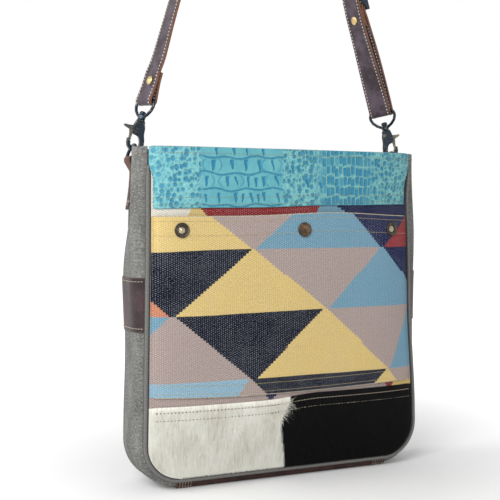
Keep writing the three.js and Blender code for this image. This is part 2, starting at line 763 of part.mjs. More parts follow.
function slideGeometry() {
  const half = strapWidth / 2 + gap + 0.6;
  const low = slideAt - slidePitch;
  const high = slideAt + slidePitch;
  const span = 2 * half + 1.2;
  const rail = [
    [slideFrameV + slideRadius, low - slideRadius], [slideFrameV + slideRadius, high + slideRadius],
    [slideFrameV - slideRadius, high + slideRadius], [slideBarV - slideRadius, slideAt + 4],
    [slideBarV - slideRadius, slideAt - 4], [slideFrameV - slideRadius, low - slideRadius],
  ];
  let frame = solid(bar(slideRadius, span, slideFrameV, low, 8))
    .add(solid(bar(slideRadius, span, slideFrameV, high, 8)))
    .add(solid(bar(slideRadius, span, slideBarV, slideAt, 8)));
  for (const end of [-1, 1]) {
    frame = frame.add(solid(plate(rail, 2, 0.5).translate(0, 0, end * (half + 1))));
  }
  return placeOnPull(geometryOf(frame), 1);
}

function strapRivetGeometry(side, w, v) {
  const head = plainOf(rivetHead(rivetRadius, rivetDome)).rotateZ(v > 0 ? -Math.PI / 2 : Math.PI / 2);
  return placeOnPull(head.translate(v, w, 0), side);
}

// Press snaps: stud on the front, socket inside the pocket, cap outside it, all on one axis.
const pocketStand = (x, z) => {
  const share = Math.min(1, Math.abs(x) / halfWidth(z));
  return pocketEase * (1 - share ** 12) * smoothstep(z, pocketBottom, snapHeight);
};

const pocketBack = (x, z) => panelDepth(x, z, frontBow) + gap + pocketStand(x, z);

function snapPiece(across, depthAt, profile) {
  const leanX = (pocketBack(across + 1, snapHeight) - pocketBack(across - 1, snapHeight)) / 2;
  const leanZ = (pocketBack(across, snapHeight + 1) - pocketBack(across, snapHeight - 1)) / 2;
  const outward = new THREE.Vector3(-leanX, -1, -leanZ).normalize();
  const up = new THREE.Vector3(0, 1, 0);
  const piece = plainOf(turned(profile, 14)).applyQuaternion(new THREE.Quaternion().setFromUnitVectors(up, outward));
  const fromPocket = (depthAt(across, snapHeight) - pocketBack(across, snapHeight)) * -outward.y;
  const seat = new THREE.Vector3(across, -pocketBack(across, snapHeight), snapHeight);
  return piece.translate(...seat.addScaledVector(outward, fromPocket).toArray());
}

const onFront = (x, z) => panelDepth(x, z, frontBow);
const onPocket = (x, z) => pocketBack(x, z) + pocketThickness;

const studProfile = [
  [0, gap], [studRadius, gap], [studRadius, gap + 0.6], [studPostRadius, gap + 0.8],
  [studPostRadius, gap + 1.9], [0, gap + 2.2],
];
const socketProfile = [
  [studPostRadius + 0.5, -gap], [studPostRadius + 0.5, -gap - 1.7], [socketRadius - 1, -gap - 1.7],
  [socketRadius, -gap - 0.8], [socketRadius, -gap], [studPostRadius + 0.5, -gap],
];
const capProfile = [
  [0, gap], [capRadius, gap], [capRadius, gap + 0.8], [capRadius - 0.9, gap + 1.6], [capRadius - 2, gap + 1.5],
  [3.4, gap + 0.9], [2.2, gap + 1.6], [0, gap + 2],
];

// Zip: one tape with its teeth on each side of the mouth.
const zipLine = (x) => {
  const share = (x + zipHalfLength) / (2 * zipHalfLength);
  return zipRowGap + (share > 0 && share < 1 ? zipSpread * Math.sin(Math.PI * share) : 0);
};

function zipTapeGeometry(side) {
  const top = bagHeight - zipDrop;
  const bow = side < 0 ? frontBow : backBow;
  const end = zipHalfLength + 6;
  const outerY = (x) => panelDepth(x, top, bow) - panelThickness - gap;
  const face = (z) => (x, share) =>
    new THREE.Vector3(x, side * lerp(zipLine(x), outerY(x), share), z + 1.5 * share);
  let tape = solid(skin(steps(-end, end, 26), [0, 0.25, 1], face(top), face(top - tapeThickness)));
  const count = Math.floor((sliderAt - 8 + zipHalfLength) / toothPitch);
  const teeth = [];
  for (let i = 0; i < count; i++) {
    const x = -zipHalfLength + 4 + i * toothPitch;
    const tooth = new THREE.BoxGeometry(1.6, toothLength + 0.8, toothHeight);
    const slope = Math.atan2(zipLine(x + 1) - zipLine(x - 1), 2);
    tooth.rotateZ(side * slope).translate(x, side * (zipLine(x) - toothLength / 2 + 0.4), top - tapeThickness / 2);
    teeth.push(solid(tooth));
  }
  for (const tooth of teeth) tape = tape.add(tooth);
  return geometryOf(tape);
}

const zipMiddle = bagHeight - zipDrop - tapeThickness / 2;
const sliderHalf = toothHeight / 2 + gap;
const bailHeight = zipMiddle + sliderHalf + 1 + 1.6;

function zipSliderGeometry() {
  const topPlate = new THREE.BoxGeometry(11, 9, 1).translate(sliderAt, 0, zipMiddle + sliderHalf + 0.5);
  const lowPlate = new THREE.BoxGeometry(11, 9, 1).translate(sliderAt, 0, zipMiddle - sliderHalf - 0.5);
  const post = new THREE.BoxGeometry(3, 1.6, 2 * sliderHalf + 1).translate(sliderAt - 3.5, 0, zipMiddle);
  const footA = new THREE.BoxGeometry(1.4, 1.8, 2.6).translate(sliderAt - 3.4, 0, bailHeight - 0.5);
  const footB = new THREE.BoxGeometry(1.4, 1.8, 2.6).translate(sliderAt + 1.4, 0, bailHeight - 0.5);
  const roof = new THREE.BoxGeometry(6.2, 1.8, 1).translate(sliderAt - 1, 0, bailHeight + 1.1);
  let body = solid(topPlate);
  for (const piece of [lowPlate, post, footA, footB, roof]) body = body.add(solid(piece));
  return geometryOf(body);
}

function zipPullGeometry() {
  const length = 20;
  const width = 7;
  const crossbar = 0.9; // half the width of the bar that turns under the bail
  const shape = new THREE.Shape();
  shape.moveTo(crossbar, -width / 2 + 0.6);
  shape.lineTo(-length, -width / 2);
  shape.absarc(-length, 0, width / 2, -Math.PI / 2, Math.PI / 2, true);
  shape.lineTo(crossbar, width / 2 - 0.6);
  shape.lineTo(crossbar, -width / 2 + 0.6);
  const hole = new THREE.Path();
  hole.moveTo(-crossbar, -1.6);
  hole.lineTo(-crossbar, 1.6);
  hole.lineTo(-5.4, 1.6);
  hole.lineTo(-5.4, -1.6);
  hole.lineTo(-crossbar, -1.6);
  shape.holes.push(hole);
  const pull = new THREE.ExtrudeGeometry(shape, { depth: 1, bevelEnabled: false, curveSegments: 8 });
  return pull.translate(sliderAt - 1, 0, bailHeight - 1);
}

const group = new THREE.Group();
group.name = "crossbody_bag";

function add(name, geometry, finish) {
  const mesh = new THREE.Mesh(geometry, new THREE.MeshStandardMaterial(colours[finish]));
  mesh.name = name;
  group.add(mesh);
}

const edgeInset = pipingRadius + gap;
const panel = { inset: edgeInset, lift: 0, thickness: -panelThickness, even: 11 };
const panelFloor = seamLift + edgeInset;
add("front_panel", panelLayer({ ...panel, side: -1, bow: frontBow, bottom: panelFloor, top: bagHeight }), "kilim");
add("back_panel", panelLayer({ ...panel, side: 1, bow: backBow, bottom: panelFloor, top: bagHeight }), "canvas");
add(
  "top_band",
  panelLayer({ ...panel, side: -1, bow: frontBow, bottom: bandBottom, top: bagHeight, lift: gap,
    thickness: bandThickness, even: 4 }),
  "turquoise",
);
add(
  "cowhide_panel",
  panelLayer({ ...panel, side: -1, bow: frontBow, bottom: panelFloor, top: hideTop, lift: gap,
    thickness: hideThickness, even: 3 }),
  "hide",
);
add(
  "kilim_pocket",
  panelLayer({ ...panel, side: -1, bow: frontBow, bottom: pocketBottom, top: pocketTop, lift: gap,
    thickness: pocketThickness, even: 9, ease: pocketStand }),
  "kilim",
);
add("gusset", gussetLayer(gussetDistances(), gussetDepths, 0, -gussetThickness), "canvas");
add("lining", liningGeometry(), "lining");
add("front_piping", pipingGeometry(-1), "piping");
add("back_piping", pipingGeometry(1), "piping");

const bandDepths = gussetDepths.slice(1, -1);
const bandDistances = steps(seamDistanceAtHeight(sideBandTop), seamDistanceAtHeight(sideBandBottom), 4);
const sideBand = gussetLayer(bandDistances, bandDepths, gap, sideBandThickness);
add("side_band_left", sideBand, "leather");
add("side_band_right", mirrored(sideBand), "leather");

const baseStart = halfRun - baseLeatherLength / 2;
const baseDepths = [-0.97, -0.93, -0.89, -baseFlat, 0, baseFlat, 0.89, 0.93, 0.97];
const baseDistances = [baseStart, halfRun - baseRun, halfRun, halfRun + baseRun, 2 * halfRun - baseStart];
add("base_leather", gussetLayer(baseDistances, baseDepths, gap, baseLeatherThickness), "leather");

const sides = [["left", -1], ["right", 1]];
for (const [name, side] of sides) {
  add("ring_tab_" + name, ringTabGeometry(side), "leather");
  add("tab_rivet_" + name, tabRivetGeometry(side), "brass");
  add("d_ring_" + name, dRingGeometry(side), "gunmetal");
  add("clasp_body_" + name, claspBodyGeometry(side), "gunmetal");
  add("clasp_trigger_" + name, claspTriggerGeometry(side), "gunmetal");
  add("trigger_pin_" + name, triggerPinGeometry(side), "gunmetal");
  add("clasp_ring_" + name, twisted(claspRingGeometry(side)), "gunmetal");
}

add("strap", twisted(ribbon(strapLine(), strapThickness, strapWidth)), "leather");
add("strap_slide", twisted(slideGeometry()), "gunmetal");
const outerFace = plySpacing / 2 + strapThickness / 2;
add("strap_rivet_left", twisted(strapRivetGeometry(-1, leftRivetAt, outerFace)), "brass");
const innerFace = slideFrameV - slideFold - 2 * plySpacing - 0.2 - strapThickness / 2;
add("strap_rivet_right", twisted(strapRivetGeometry(1, rightRivetAt, innerFace)), "brass");

["left", "centre", "right"].forEach((name, i) => {
  add("snap_stud_" + name, snapPiece(snapAcross[i], onFront, studProfile), "gunmetal");
  add("snap_socket_" + name, snapPiece(snapAcross[i], pocketBack, socketProfile), "gunmetal");
  add("snap_cap_" + name, snapPiece(snapAcross[i], onPocket, capProfile), "gunmetal");
});

add("zip_tape_front", zipTapeGeometry(-1), "tape");
add("zip_tape_back", zipTapeGeometry(1), "tape");
add("zip_slider", zipSliderGeometry(), "brass");
add("zip_pull", zipPullGeometry(), "brass");

export default group;
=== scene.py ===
import bmesh
import bpy
import json
import math
import numpy as np
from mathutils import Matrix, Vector


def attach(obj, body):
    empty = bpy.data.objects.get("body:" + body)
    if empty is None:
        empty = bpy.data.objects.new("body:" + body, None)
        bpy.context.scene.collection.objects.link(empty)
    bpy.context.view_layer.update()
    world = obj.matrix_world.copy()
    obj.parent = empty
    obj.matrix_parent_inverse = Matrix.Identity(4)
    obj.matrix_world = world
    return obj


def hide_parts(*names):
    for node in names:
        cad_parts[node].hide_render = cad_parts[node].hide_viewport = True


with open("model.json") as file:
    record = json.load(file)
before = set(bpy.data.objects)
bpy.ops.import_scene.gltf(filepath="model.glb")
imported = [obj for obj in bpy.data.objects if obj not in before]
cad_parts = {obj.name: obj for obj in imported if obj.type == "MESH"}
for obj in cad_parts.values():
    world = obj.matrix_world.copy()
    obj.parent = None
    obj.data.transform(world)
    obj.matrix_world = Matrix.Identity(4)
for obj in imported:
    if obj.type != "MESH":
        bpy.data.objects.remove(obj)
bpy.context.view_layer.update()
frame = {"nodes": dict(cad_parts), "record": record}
print("frame loaded")

mm = 0.001  # sizes are in millimetres, and Blender's in metres

# the bag's body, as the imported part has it
body = dict(height=320, topWidth=282, lowWidth=292, corner=35, seamLift=9, seamDepth=27, mouthPinch=3,
            frontBow=10, backBow=7, panel=2.4, piping=2.4, gap=0.3)


# 0 below low, 1 above high, and the curve 3t^2 - 2t^3 between them
def smooth(x, low, high):
    t = np.clip((np.asarray(x, float) - low) / (high - low), 0, 1)
    return t * t * (3 - 2 * t)


# a at t = 0, b at t = 1, straight between them
def mixed(a, b, t):
    return a + (b - a) * t


# surfaces of the bag, each a formula on whole arrays

cornerTop = body["seamLift"] + body["corner"]
sideRun = math.hypot((body["lowWidth"] - body["topWidth"]) / 2, body["height"] - cornerTop)
cornerRun = body["corner"] * math.pi / 2
baseRun = body["lowWidth"] / 2 - body["corner"]
halfRun = sideRun + cornerRun + baseRun


# half the width between the seams: a straight taper above the corner, a quarter circle below it
def halfWidth(z, inset=0):
    z = np.asarray(z, float)
    share = (z - cornerTop) / (body["height"] - cornerTop)
    taper = mixed(body["lowWidth"], body["topWidth"], share) / 2 - inset
    radius = body["corner"] - inset
    rise = np.clip(cornerTop - z, 0, None)
    arc = baseRun + np.sqrt(np.clip(radius * radius - rise * rise, 0, None))
    return np.where(z >= cornerTop, taper, arc)


# half the depth at the seams, a little less at the mouth
def seamDepth(z):
    return body["seamDepth"] - body["mouthPinch"] * smooth(z, 200, body["height"])


# soft hollows and swells of filled cloth: a few long sine waves, none at the seams
def ripple(x, z):
    edge = 1 - np.clip(np.abs(x) / halfWidth(z), 0, 1) ** 4
    wave = (np.sin(x / 31 + z / 47 + 1.3) * np.sin(z / 39 - x / 83) + 0.5 * np.sin(x / 17 - z / 29 + 0.4)
            + 0.35 * np.sin(z / 13 + x / 23) * smooth(z, 40, 90))
    return 0.55 * wave * edge


# depth of a panel: the seam's depth, a bow that fades with the fifth power towards the seams, and the ripple
def panelDepth(x, z, bow):
    share = np.clip(np.abs(x) / halfWidth(z), 0, 1)
    fill = smooth(z, 0, 70) * (1 - 0.2 * smooth(z, 200, body["height"]))
    rippled = ripple(x, z) * (1 if bow == body["frontBow"] else -0.8)
    return seamDepth(z) + bow * (1 - share ** 5) * fill + rippled


# on the right the front seam draws in between the mouth and the hide
def drawnIn(x, z):
    return 4.0 * smooth(x, 40, 141) * smooth(z, 60, 170) * (1 - smooth(z, 268, 316))


# a point on the front, lifted outwards
def frontPoint(x, z, lift=0.0):
    x, z = np.broadcast_arrays(np.asarray(x, float), np.asarray(z, float))
    return np.stack([x - drawnIn(x, z), -(panelDepth(x, z, body["frontBow"]) + lift), z], -1)


# a layer's lift off the front, which fades where the layer is caught in the seam
def caught(x, z, lift):
    ease = smooth(halfWidth(z) - np.abs(x), 2.4, 9)
    return 0.45 + (lift - 0.45) * ease


# a point on a layer that is sewn on the front
def layerPoint(x, z, lift=0.0):
    return frontPoint(x, z, caught(x, z, lift))


# a point on the back, lifted outwards
def backPoint(x, z, lift=0.0):
    x, z = np.broadcast_arrays(np.asarray(x, float), np.asarray(z, float))
    return np.stack([x, panelDepth(x, z, body["backBow"]) + lift, z], -1)


# what is sewn on the front
patches = dict(bandThickness=1.3, hideTop=77, hideThickness=1.6, pocketBottom=83, pocketThickness=1.6,
               pocketEase=3.7, snapHeight=243, snapAcross=[-113.6, 11.4, 115.3])


# the pocket stands off the front most along its middle and towards its mouth
def pocketStand(x, z):
    share = np.clip(np.abs(x) / halfWidth(z), 0, 1)
    rise = smooth(z, patches["pocketBottom"], patches["snapHeight"])
    return patches["pocketEase"] * (1 - share ** 12) * rise


# a point on the pocket's outer face, a little higher over its two hems
def pocketPoint(x, z, lift=0.0):
    hem = 0.35 * smooth(z, 236, 238.5) + 0.3 * (1 - smooth(z, 88.5, 90.5))
    return layerPoint(x, z, lift + body["gap"] + patches["pocketThickness"] + pocketStand(x, z) + hem)


# the seam as a path: down the left side, round the corner, along the base and up again
def seamAt(distance):
    distance = np.asarray(distance, float)
    near = np.minimum(distance, 2 * halfRun - distance)
    flip = np.where(distance > halfRun, -1.0, 1.0)
    share = near / sideRun
    angle = np.clip((near - sideRun) / body["corner"], 0, math.pi / 2)
    onSide, onCorner = near <= sideRun, near <= sideRun + cornerRun
    x = np.where(onSide, -mixed(body["topWidth"], body["lowWidth"], share) / 2,
                 np.where(onCorner, -baseRun - body["corner"] * np.cos(angle), -(halfRun - near)))
    z = np.where(onSide, mixed(body["height"], cornerTop, share),
                 np.where(onCorner, cornerTop - body["corner"] * np.sin(angle), body["seamLift"]))
    nx = np.where(onSide, -1.0, -np.cos(angle))
    nz = np.where(onSide, 0.0, -np.sin(angle))
    return x * flip, z, nx * flip, nz


# the distance along the seam from its left end down to a height on the left side
def seamDistance(z):
    return (body["height"] - z) / (body["height"] - cornerTop) * sideRun


side = dict(sideBulge=9, solidBulge=14, mouthBulge=12.5, foldDepth=12.5, foldBottom=190, foldTop=300,
            foldTuck=6.5, mouthDip=7, baseFlat=0.85, thickness=1.6)


# the pleat's share of its depth, from t = -1 at the front seam to 1 at the back one
def pleat(t):
    return smooth(t, -0.5, -0.12) * (1 - smooth(t, 0.86, 1))


# the gusset: an arch between the seams with a pleat behind its front ridge, flat under the base
def gussetPoint(run, t, lift=0.0):
    run, t = np.broadcast_arrays(np.asarray(run, float), np.asarray(t, float))

    def outer(run, t):
        fromEnd = np.minimum(run, 2 * halfRun - run)
        dip = side["mouthDip"] * pleat(t) * (1 - smooth(fromEnd, 0, 6 * side["mouthDip"]))
        distance = np.where(run < halfRun, run + dip, run - dip)
        near = np.minimum(distance, 2 * halfRun - distance)
        x, z, nx, nz = seamAt(distance)
        arch = np.clip(1 - t ** 4, 0, None) ** 0.8
        full = mixed(side["solidBulge"], side["mouthBulge"], smooth(z, 200, body["height"]))
        ridge = mixed(side["sideBulge"], full, smooth(z, 140, 250))
        depth = (side["foldDepth"] * smooth(z, side["foldBottom"], side["foldTop"])
                 + side["foldTuck"] * smooth(z, side["foldTop"] - 4, side["foldTop"] + 10))
        out = ridge * arch - depth * pleat(t)
        under = (body["seamLift"] - 1.9) * (1 - smooth(np.abs(t), side["baseFlat"], 1))
        crease = np.sin(distance / 21 + 2.2 * t) * np.sin(distance / 57 - 3 * t) * 0.45
        crease = crease * np.clip(1 - t ** 6, 0, 1)
        out = mixed(out + crease, under, smooth(near, sideRun, sideRun + cornerRun))
        reach = seamDepth(z) - body["piping"] - body["gap"]
        pulled = drawnIn(x, z) * smooth(-t, 0.6, 1)
        return np.stack([x + nx * out - pulled, t * reach, z + nz * out], -1)

    step = 0.01
    along = outer(run + step, t) - outer(run - step, t)
    across = outer(run, np.clip(t + step, -1, 1)) - outer(run, np.clip(t - step, -1, 1))
    normal = np.cross(across, along)
    normal /= np.linalg.norm(normal, axis=-1, keepdims=True) + 1e-12
    return outer(run, t) + normal * lift


inside = np.array([0.0, 0.0, 160.0])  # a point within the bag, which tells outwards from inwards


def unit(v):
    return v / (np.linalg.norm(v, axis=-1, keepdims=True) + 1e-12)


# the length along a path up to each of its points
def runAlong(path):
    return np.concatenate([[0], np.cumsum(np.linalg.norm(np.diff(path, axis=0), axis=1))])


# the points round the edge of a grid, in order
def rimOf(grid):
    return np.concatenate([grid[0], grid[1:, -1], grid[-1, -2::-1], grid[-2:0:-1, 0]])


# points in millimetres, faces as rows of four and of three indices, and one UV pair for each point
def makeMesh(name, points, quads, uv=None, faceKind=None, triangles=()):
    loops = np.concatenate([np.ravel(quads), np.ravel(triangles)]).astype(np.int32)
    counts = np.array([4] * len(quads) + [3] * len(triangles), np.int32)
    starts = np.concatenate([[0], np.cumsum(counts)[:-1]]).astype(np.int32)
    mesh = bpy.data.meshes.new(name)
    mesh.vertices.add(len(points))
    mesh.vertices.foreach_set("co", (np.asarray(points, float) * mm).astype(np.float32).ravel())
    mesh.loops.add(len(loops))
    mesh.loops.foreach_set("vertex_index", loops)
    mesh.polygons.add(len(counts))
    mesh.polygons.foreach_set("loop_start", starts)
    mesh.polygons.foreach_set("loop_total", counts)
    mesh.polygons.foreach_set("use_smooth", np.full(len(counts), True))
    if faceKind is not None:
        mesh.polygons.foreach_set("material_index", np.asarray(faceKind, np.int32))
    if uv is not None:
        layer = mesh.uv_layers.new(name="UVMap")
        layer.data.foreach_set("uv", np.asarray(uv, float)[loops].astype(np.float32).ravel())
    mesh.update(calc_edges=True)
    mesh.validate()
    made = bpy.data.objects.new(name, mesh)
    bpy.context.scene.collection.objects.link(made)
    return made


# the quads of a grid of points, row by row; in a ring the last column joins the first
def gridQuads(rows, columns, ring=False):
    i, j = np.meshgrid(np.arange(rows - 1), np.arange(columns if ring else columns - 1), indexing="ij")
    here, below, after = i * columns, (i + 1) * columns, (j + 1) % columns
    return np.stack([here + j, below + j, below + after, here + after], -1).reshape(-1, 4)


# doubles merged and faces turned outwards, as asked
def mended(piece, merge=False, turn=True):
    work = bmesh.new()
    work.from_mesh(piece.data)
    if merge:
        bmesh.ops.remove_doubles(work, verts=work.verts, dist=1e-6)
    if turn:
        bmesh.ops.recalc_face_normals(work, faces=work.faces)
    work.to_mesh(piece.data)
    work.free()
    return piece


# a sheet with thickness: the outer grid, the same grid moved in along its normals, and a half-round rim;
# its faces are of kind 0 outside, 1 on the rim and 2 inside
def slab(name, points, thickness, uv, bulge=0.6, rimSteps=3):
    def normals(p):
        return unit(np.cross(np.gradient(p, axis=0), np.gradient(p, axis=1)))

    if np.mean(np.sum(normals(points) * (points - inside), -1)) < 0:
        points, uv = points[:, ::-1], uv[:, ::-1]
    rows, columns = points.shape[:2]
    down, across = unit(np.gradient(points, axis=0)), unit(np.gradient(points, axis=1))
    outward = np.zeros_like(points)
    outward[0] -= down[0]
    outward[-1] += down[-1]
    outward[:, 0] -= across[:, 0]
    outward[:, -1] += across[:, -1]
    normal, outward = normals(points).reshape(-1, 3), unit(outward.reshape(-1, 3))
    points, uv = points.reshape(-1, 3), uv.reshape(-1, 2)
    thick = np.broadcast_to(thickness, (rows, columns)).reshape(-1, 1)
    rim = rimOf(np.arange(rows * columns).reshape(rows, columns))
    half = thick[rim] / 2
    turns = np.linspace(0, math.pi, rimSteps + 2)[1:-1]
    rings = [points[rim] + half * (outward[rim] * bulge * math.sin(turn) - normal[rim] * (1 - math.cos(turn)))
             for turn in turns]
    quads = gridQuads(rows, columns)
    innerStart = rows * columns + rimSteps * len(rim)
    loops = [rows * columns + k * len(rim) + np.arange(len(rim)) for k in range(rimSteps)]
    loops = [rim] + loops + [innerStart + rim]
    rimQuads = np.concatenate([np.stack([np.roll(a, -1), np.roll(b, -1), b, a], -1)
                               for a, b in zip(loops[:-1], loops[1:])])
    return makeMesh(name, np.concatenate([points] + rings + [points - normal * thick]),
                    np.concatenate([quads, rimQuads, innerStart + quads[:, ::-1]]),
                    np.concatenate([uv] + [uv[rim]] * rimSteps + [uv]),
                    np.repeat([0, 1, 2], [len(quads), len(rimQuads), len(quads)]))


# rings of points made a closed surface: quads from ring to ring and a fan of triangles over each end
def ringed(name, rings, uv, faceKind=None):
    rows, columns = rings.shape[:2]
    count, last, j = rows * columns, (rows - 1) * columns, np.arange(columns)
    after = (j + 1) % columns
    fans = np.concatenate([np.stack([np.full(columns, count), j, after], -1),
                           np.stack([np.full(columns, count + 1), last + after, last + j], -1)])
    vertices = np.concatenate([rings.reshape(-1, 3), rings[[0, -1]].mean(1)])
    coordinates = np.concatenate([uv.reshape(-1, 2), uv[[0, -1], 0] * [0, 1]])
    return mended(makeMesh(name, vertices, gridQuads(rows, columns, True), coordinates, faceKind, fans))


# a turned piece: (radius, height) pairs carried round an axis
def turned(name, profile, seat, axis, sides=48):
    axis = unit(np.array(axis, float))
    first = unit(np.cross(axis, [0, 0, 1.0]))
    second = np.cross(axis, first)
    angle = np.arange(sides) * 2 * math.pi / sides
    around = np.cos(angle)[:, None] * first + np.sin(angle)[:, None] * second
    profile = np.array(profile, float)
    points = seat + profile[:, None, :1] * around[None] + profile[:, None, 1:] * axis
    return mended(makeMesh(name, points.reshape(-1, 3), gridQuads(len(profile), sides, True)), merge=True)


# thread: each stitch is a small capsule from one hole to the next, its middle lifted off the leather;
# a row is its path, the direction off the leather, the stitches' pitch and their length
def stitches(name, rows, radius):
    starts, ends, ups = [], [], []
    for path, normal, pitch, length in rows:
        run = runAlong(path)

        def at(distance, values=path):
            return np.stack([np.interp(distance, run, values[:, k]) for k in range(3)], -1)

        count = max(1, int(run[-1] / pitch))
        middle = (np.arange(count) + 0.5) * run[-1] / count
        half = unit(at(middle + 0.3) - at(middle - 0.3)) * length / 2
        starts.append(at(middle) - half)
        ends.append(at(middle) + half)
        ups.append(unit(at(middle, normal)))
    start, end, up = np.concatenate(starts), np.concatenate(ends), np.concatenate(ups)
    across = unit(np.cross(unit(end - start), up))
    share = np.array([0.0, 0.14, 0.5, 0.86, 1.0])
    thick = np.array([0.35, 0.85, 1.0, 0.85, 0.35]) * radius
    lift = np.array([-0.6, 0.1, 0.55, 0.1, -0.6]) * radius
    sides = 6
    angle = np.arange(sides) * 2 * math.pi / sides
    centre = mixed(start[:, None], end[:, None], share[None, :, None]) + up[:, None] * lift[None, :, None]
    ring = (np.cos(angle)[None, None, :, None] * across[:, None, None]
            + np.sin(angle)[None, None, :, None] * up[:, None, None])
    points = centre[:, :, None] + ring * thick[None, :, None, None]
    caps = np.array([[0, k, k + 1] for k in range(1, sides - 1)])
    caps = np.concatenate([caps, (len(share) - 1) * sides + caps[:, ::-1]])
    offset = np.arange(len(start))[:, None, None] * len(share) * sides
    quads = (gridQuads(len(share), sides, True)[None] + offset).reshape(-1, 4)
    caps = (caps[None] + offset).reshape(-1, 3)
    return mended(makeMesh(name, points.reshape(-1, 3), quads, triangles=caps))


# a copy of a metal node, remeshed and smoothed so that its edges are soft, as a casting's are
def castCopy(name, node, voxel, rounds=5):
    made = bpy.data.objects.new(name, frame["nodes"][node].data.copy())
    bpy.context.scene.collection.objects.link(made)
    made.data.materials.clear()
    mended(made, merge=True, turn=False)
    remesh = made.modifiers.new("remesh", "REMESH")
    remesh.mode = "VOXEL"
    remesh.voxel_size = voxel * mm
    relax = made.modifiers.new("relax", "SMOOTH")
    relax.factor = 0.5
    relax.iterations = rounds
    graph = bpy.context.evaluated_depsgraph_get()
    done = bpy.data.meshes.new_from_object(made.evaluated_get(graph))
    made.modifiers.clear()
    made.data = done
    done.polygons.foreach_set("use_smooth", np.full(len(done.polygons), True))
    return made


# a piece's body, a finish for each kind of face, and the nodes that it stands for
def finishPiece(piece, bodyName, looks, nodes=()):
    if len(piece.data.materials):  # clear() would also forget which face has which material
        piece.data.materials.clear()
    for look in looks:
        piece.data.materials.append(look.material)
    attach(piece, bodyName)
    if nodes:
        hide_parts(*nodes)


# shader maths: a socket as a number, with the operators that the finishes use
class Num:
    def __init__(self, tree, socket):
        self.tree, self.socket = tree, socket

    def math(self, operation, *others, clamp=False):
        node = self.tree.nodes.new("ShaderNodeMath")
        node.operation, node.use_clamp = operation, clamp
        for place, value in zip(node.inputs, (self,) + others):
            if isinstance(value, Num):
                self.tree.links.new(value.socket, place)
            else:
                place.default_value = float(value)
        return Num(self.tree, node.outputs[0])

    def reverse(self, operation, other):
        node = self.tree.nodes.new("ShaderNodeMath")
        node.operation = operation
        node.inputs[0].default_value = float(other)
        self.tree.links.new(self.socket, node.inputs[1])
        return Num(self.tree, node.outputs[0])

    def __add__(self, other): return self.math("ADD", other)
    def __radd__(self, other): return self.math("ADD", other)
    def __sub__(self, other): return self.math("SUBTRACT", other)
    def __rsub__(self, other): return self.reverse("SUBTRACT", other)
    def __mul__(self, other): return self.math("MULTIPLY", other)
    def __rmul__(self, other): return self.math("MULTIPLY", other)
    def __truediv__(self, other): return self.math("DIVIDE", other)
    def __pow__(self, other): return self.math("POWER", other)
    def __gt__(self, other): return self.math("GREATER_THAN", other)
    def __lt__(self, other): return self.math("LESS_THAN", other)
    def sin(self): return self.math("SINE")
    def abs(self): return self.math("ABSOLUTE")
    def floor(self): return self.math("FLOOR")
    def fract(self): return self.math("FRACT")
    def most(self, other): return self.math("MAXIMUM", other)

    # 0 below low, 1 above high, straight between them
    def ramp(self, low, high):
        return ((self - low) * (1 / (high - low))).math("ADD", 0, clamp=True)


# a colour as it is picked on a screen, from 0 to 255, made linear
def srgb(r, g, b):
    def linear(c):
        return c / 12.92 if c <= 0.04045 else ((c + 0.055) / 1.055) ** 2.4

    return (*[linear(c / 255) for c in (r, g, b)], 1)


# a material with its Principled shader, and what feeds it
class Finish:
    def __init__(self, name, rough=0.6, metal=0.0, **fixed):
        self.material = bpy.data.materials.new(name)
        self.material.use_nodes = True
        self.tree = self.material.node_tree
        self.shader = self.tree.nodes["Principled BSDF"]
        self.shader.inputs["Roughness"].default_value = rough
        self.shader.inputs["Metallic"].default_value = metal
        for key, value in fixed.items():
            self.shader.inputs[key.replace("_", " ")].default_value = value
        self.place = {}

    # a node of a type, its settings first, then its sockets by name, or by number as i0, i1
    def node(self, kind, settings=None, out=0, **inputs):
        node = self.tree.nodes.new(kind)
        for key, value in (settings or {}).items():
            setattr(node, key, value)
        for key, value in inputs.items():
            self.feed(node.inputs[int(key[1:]) if key[1:].isdigit() else key.replace("_", " ")], value)
        return Num(self.tree, node.outputs[out])

    def feed(self, socket, value):
        if isinstance(value, Num):
            self.tree.links.new(value.socket, socket)
        else:
            socket.default_value = value

    # the piece's own UV, in millimetres, or the object's coordinates, in metres: as a vector and as numbers
    def where(self, kind="UV"):
        if kind not in self.place:
            vector = self.node("ShaderNodeTexCoord", out=kind)
            node = self.tree.nodes.new("ShaderNodeSeparateXYZ")
            self.tree.links.new(vector.socket, node.inputs[0])
            self.place[kind] = (vector, *[Num(self.tree, o) for o in node.outputs])
        return self.place[kind]

    def vector(self, x, y, z=0.0):
        return self.node("ShaderNodeCombineXYZ", i0=x, i1=y, i2=z)

    def noise(self, vector, scale, detail=2.0, rough=0.5):
        return self.node("ShaderNodeTexNoise", None, "Fac", Vector=vector, Scale=scale, Detail=detail,
                         Roughness=rough)

    def cells(self, vector, scale, feature="DISTANCE_TO_EDGE", randomness=1.0, metric="EUCLIDEAN"):
        return self.node("ShaderNodeTexVoronoi", {"feature": feature, "distance": metric}, "Distance",
                         Vector=vector, Scale=scale, Randomness=randomness)

    def mix(self, share, a, b):
        return self.node("ShaderNodeMix", {"data_type": "RGBA"}, 2, i0=share, i6=a, i7=b)

    # two tones mixed by a noise
    def mottle(self, noise, low, high, dark, light):
        return self.mix(noise.ramp(low, high), dark, light)

    def colour(self, value):
        self.feed(self.shader.inputs["Base Color"], value)

    def rough(self, value):
        self.feed(self.shader.inputs["Roughness"], value)

    def bump(self, height, distance, strength=1.0):
        normal = self.node("ShaderNodeBump", Height=height, Distance=distance * mm, Strength=strength)
        self.feed(self.shader.inputs["Normal"], normal)


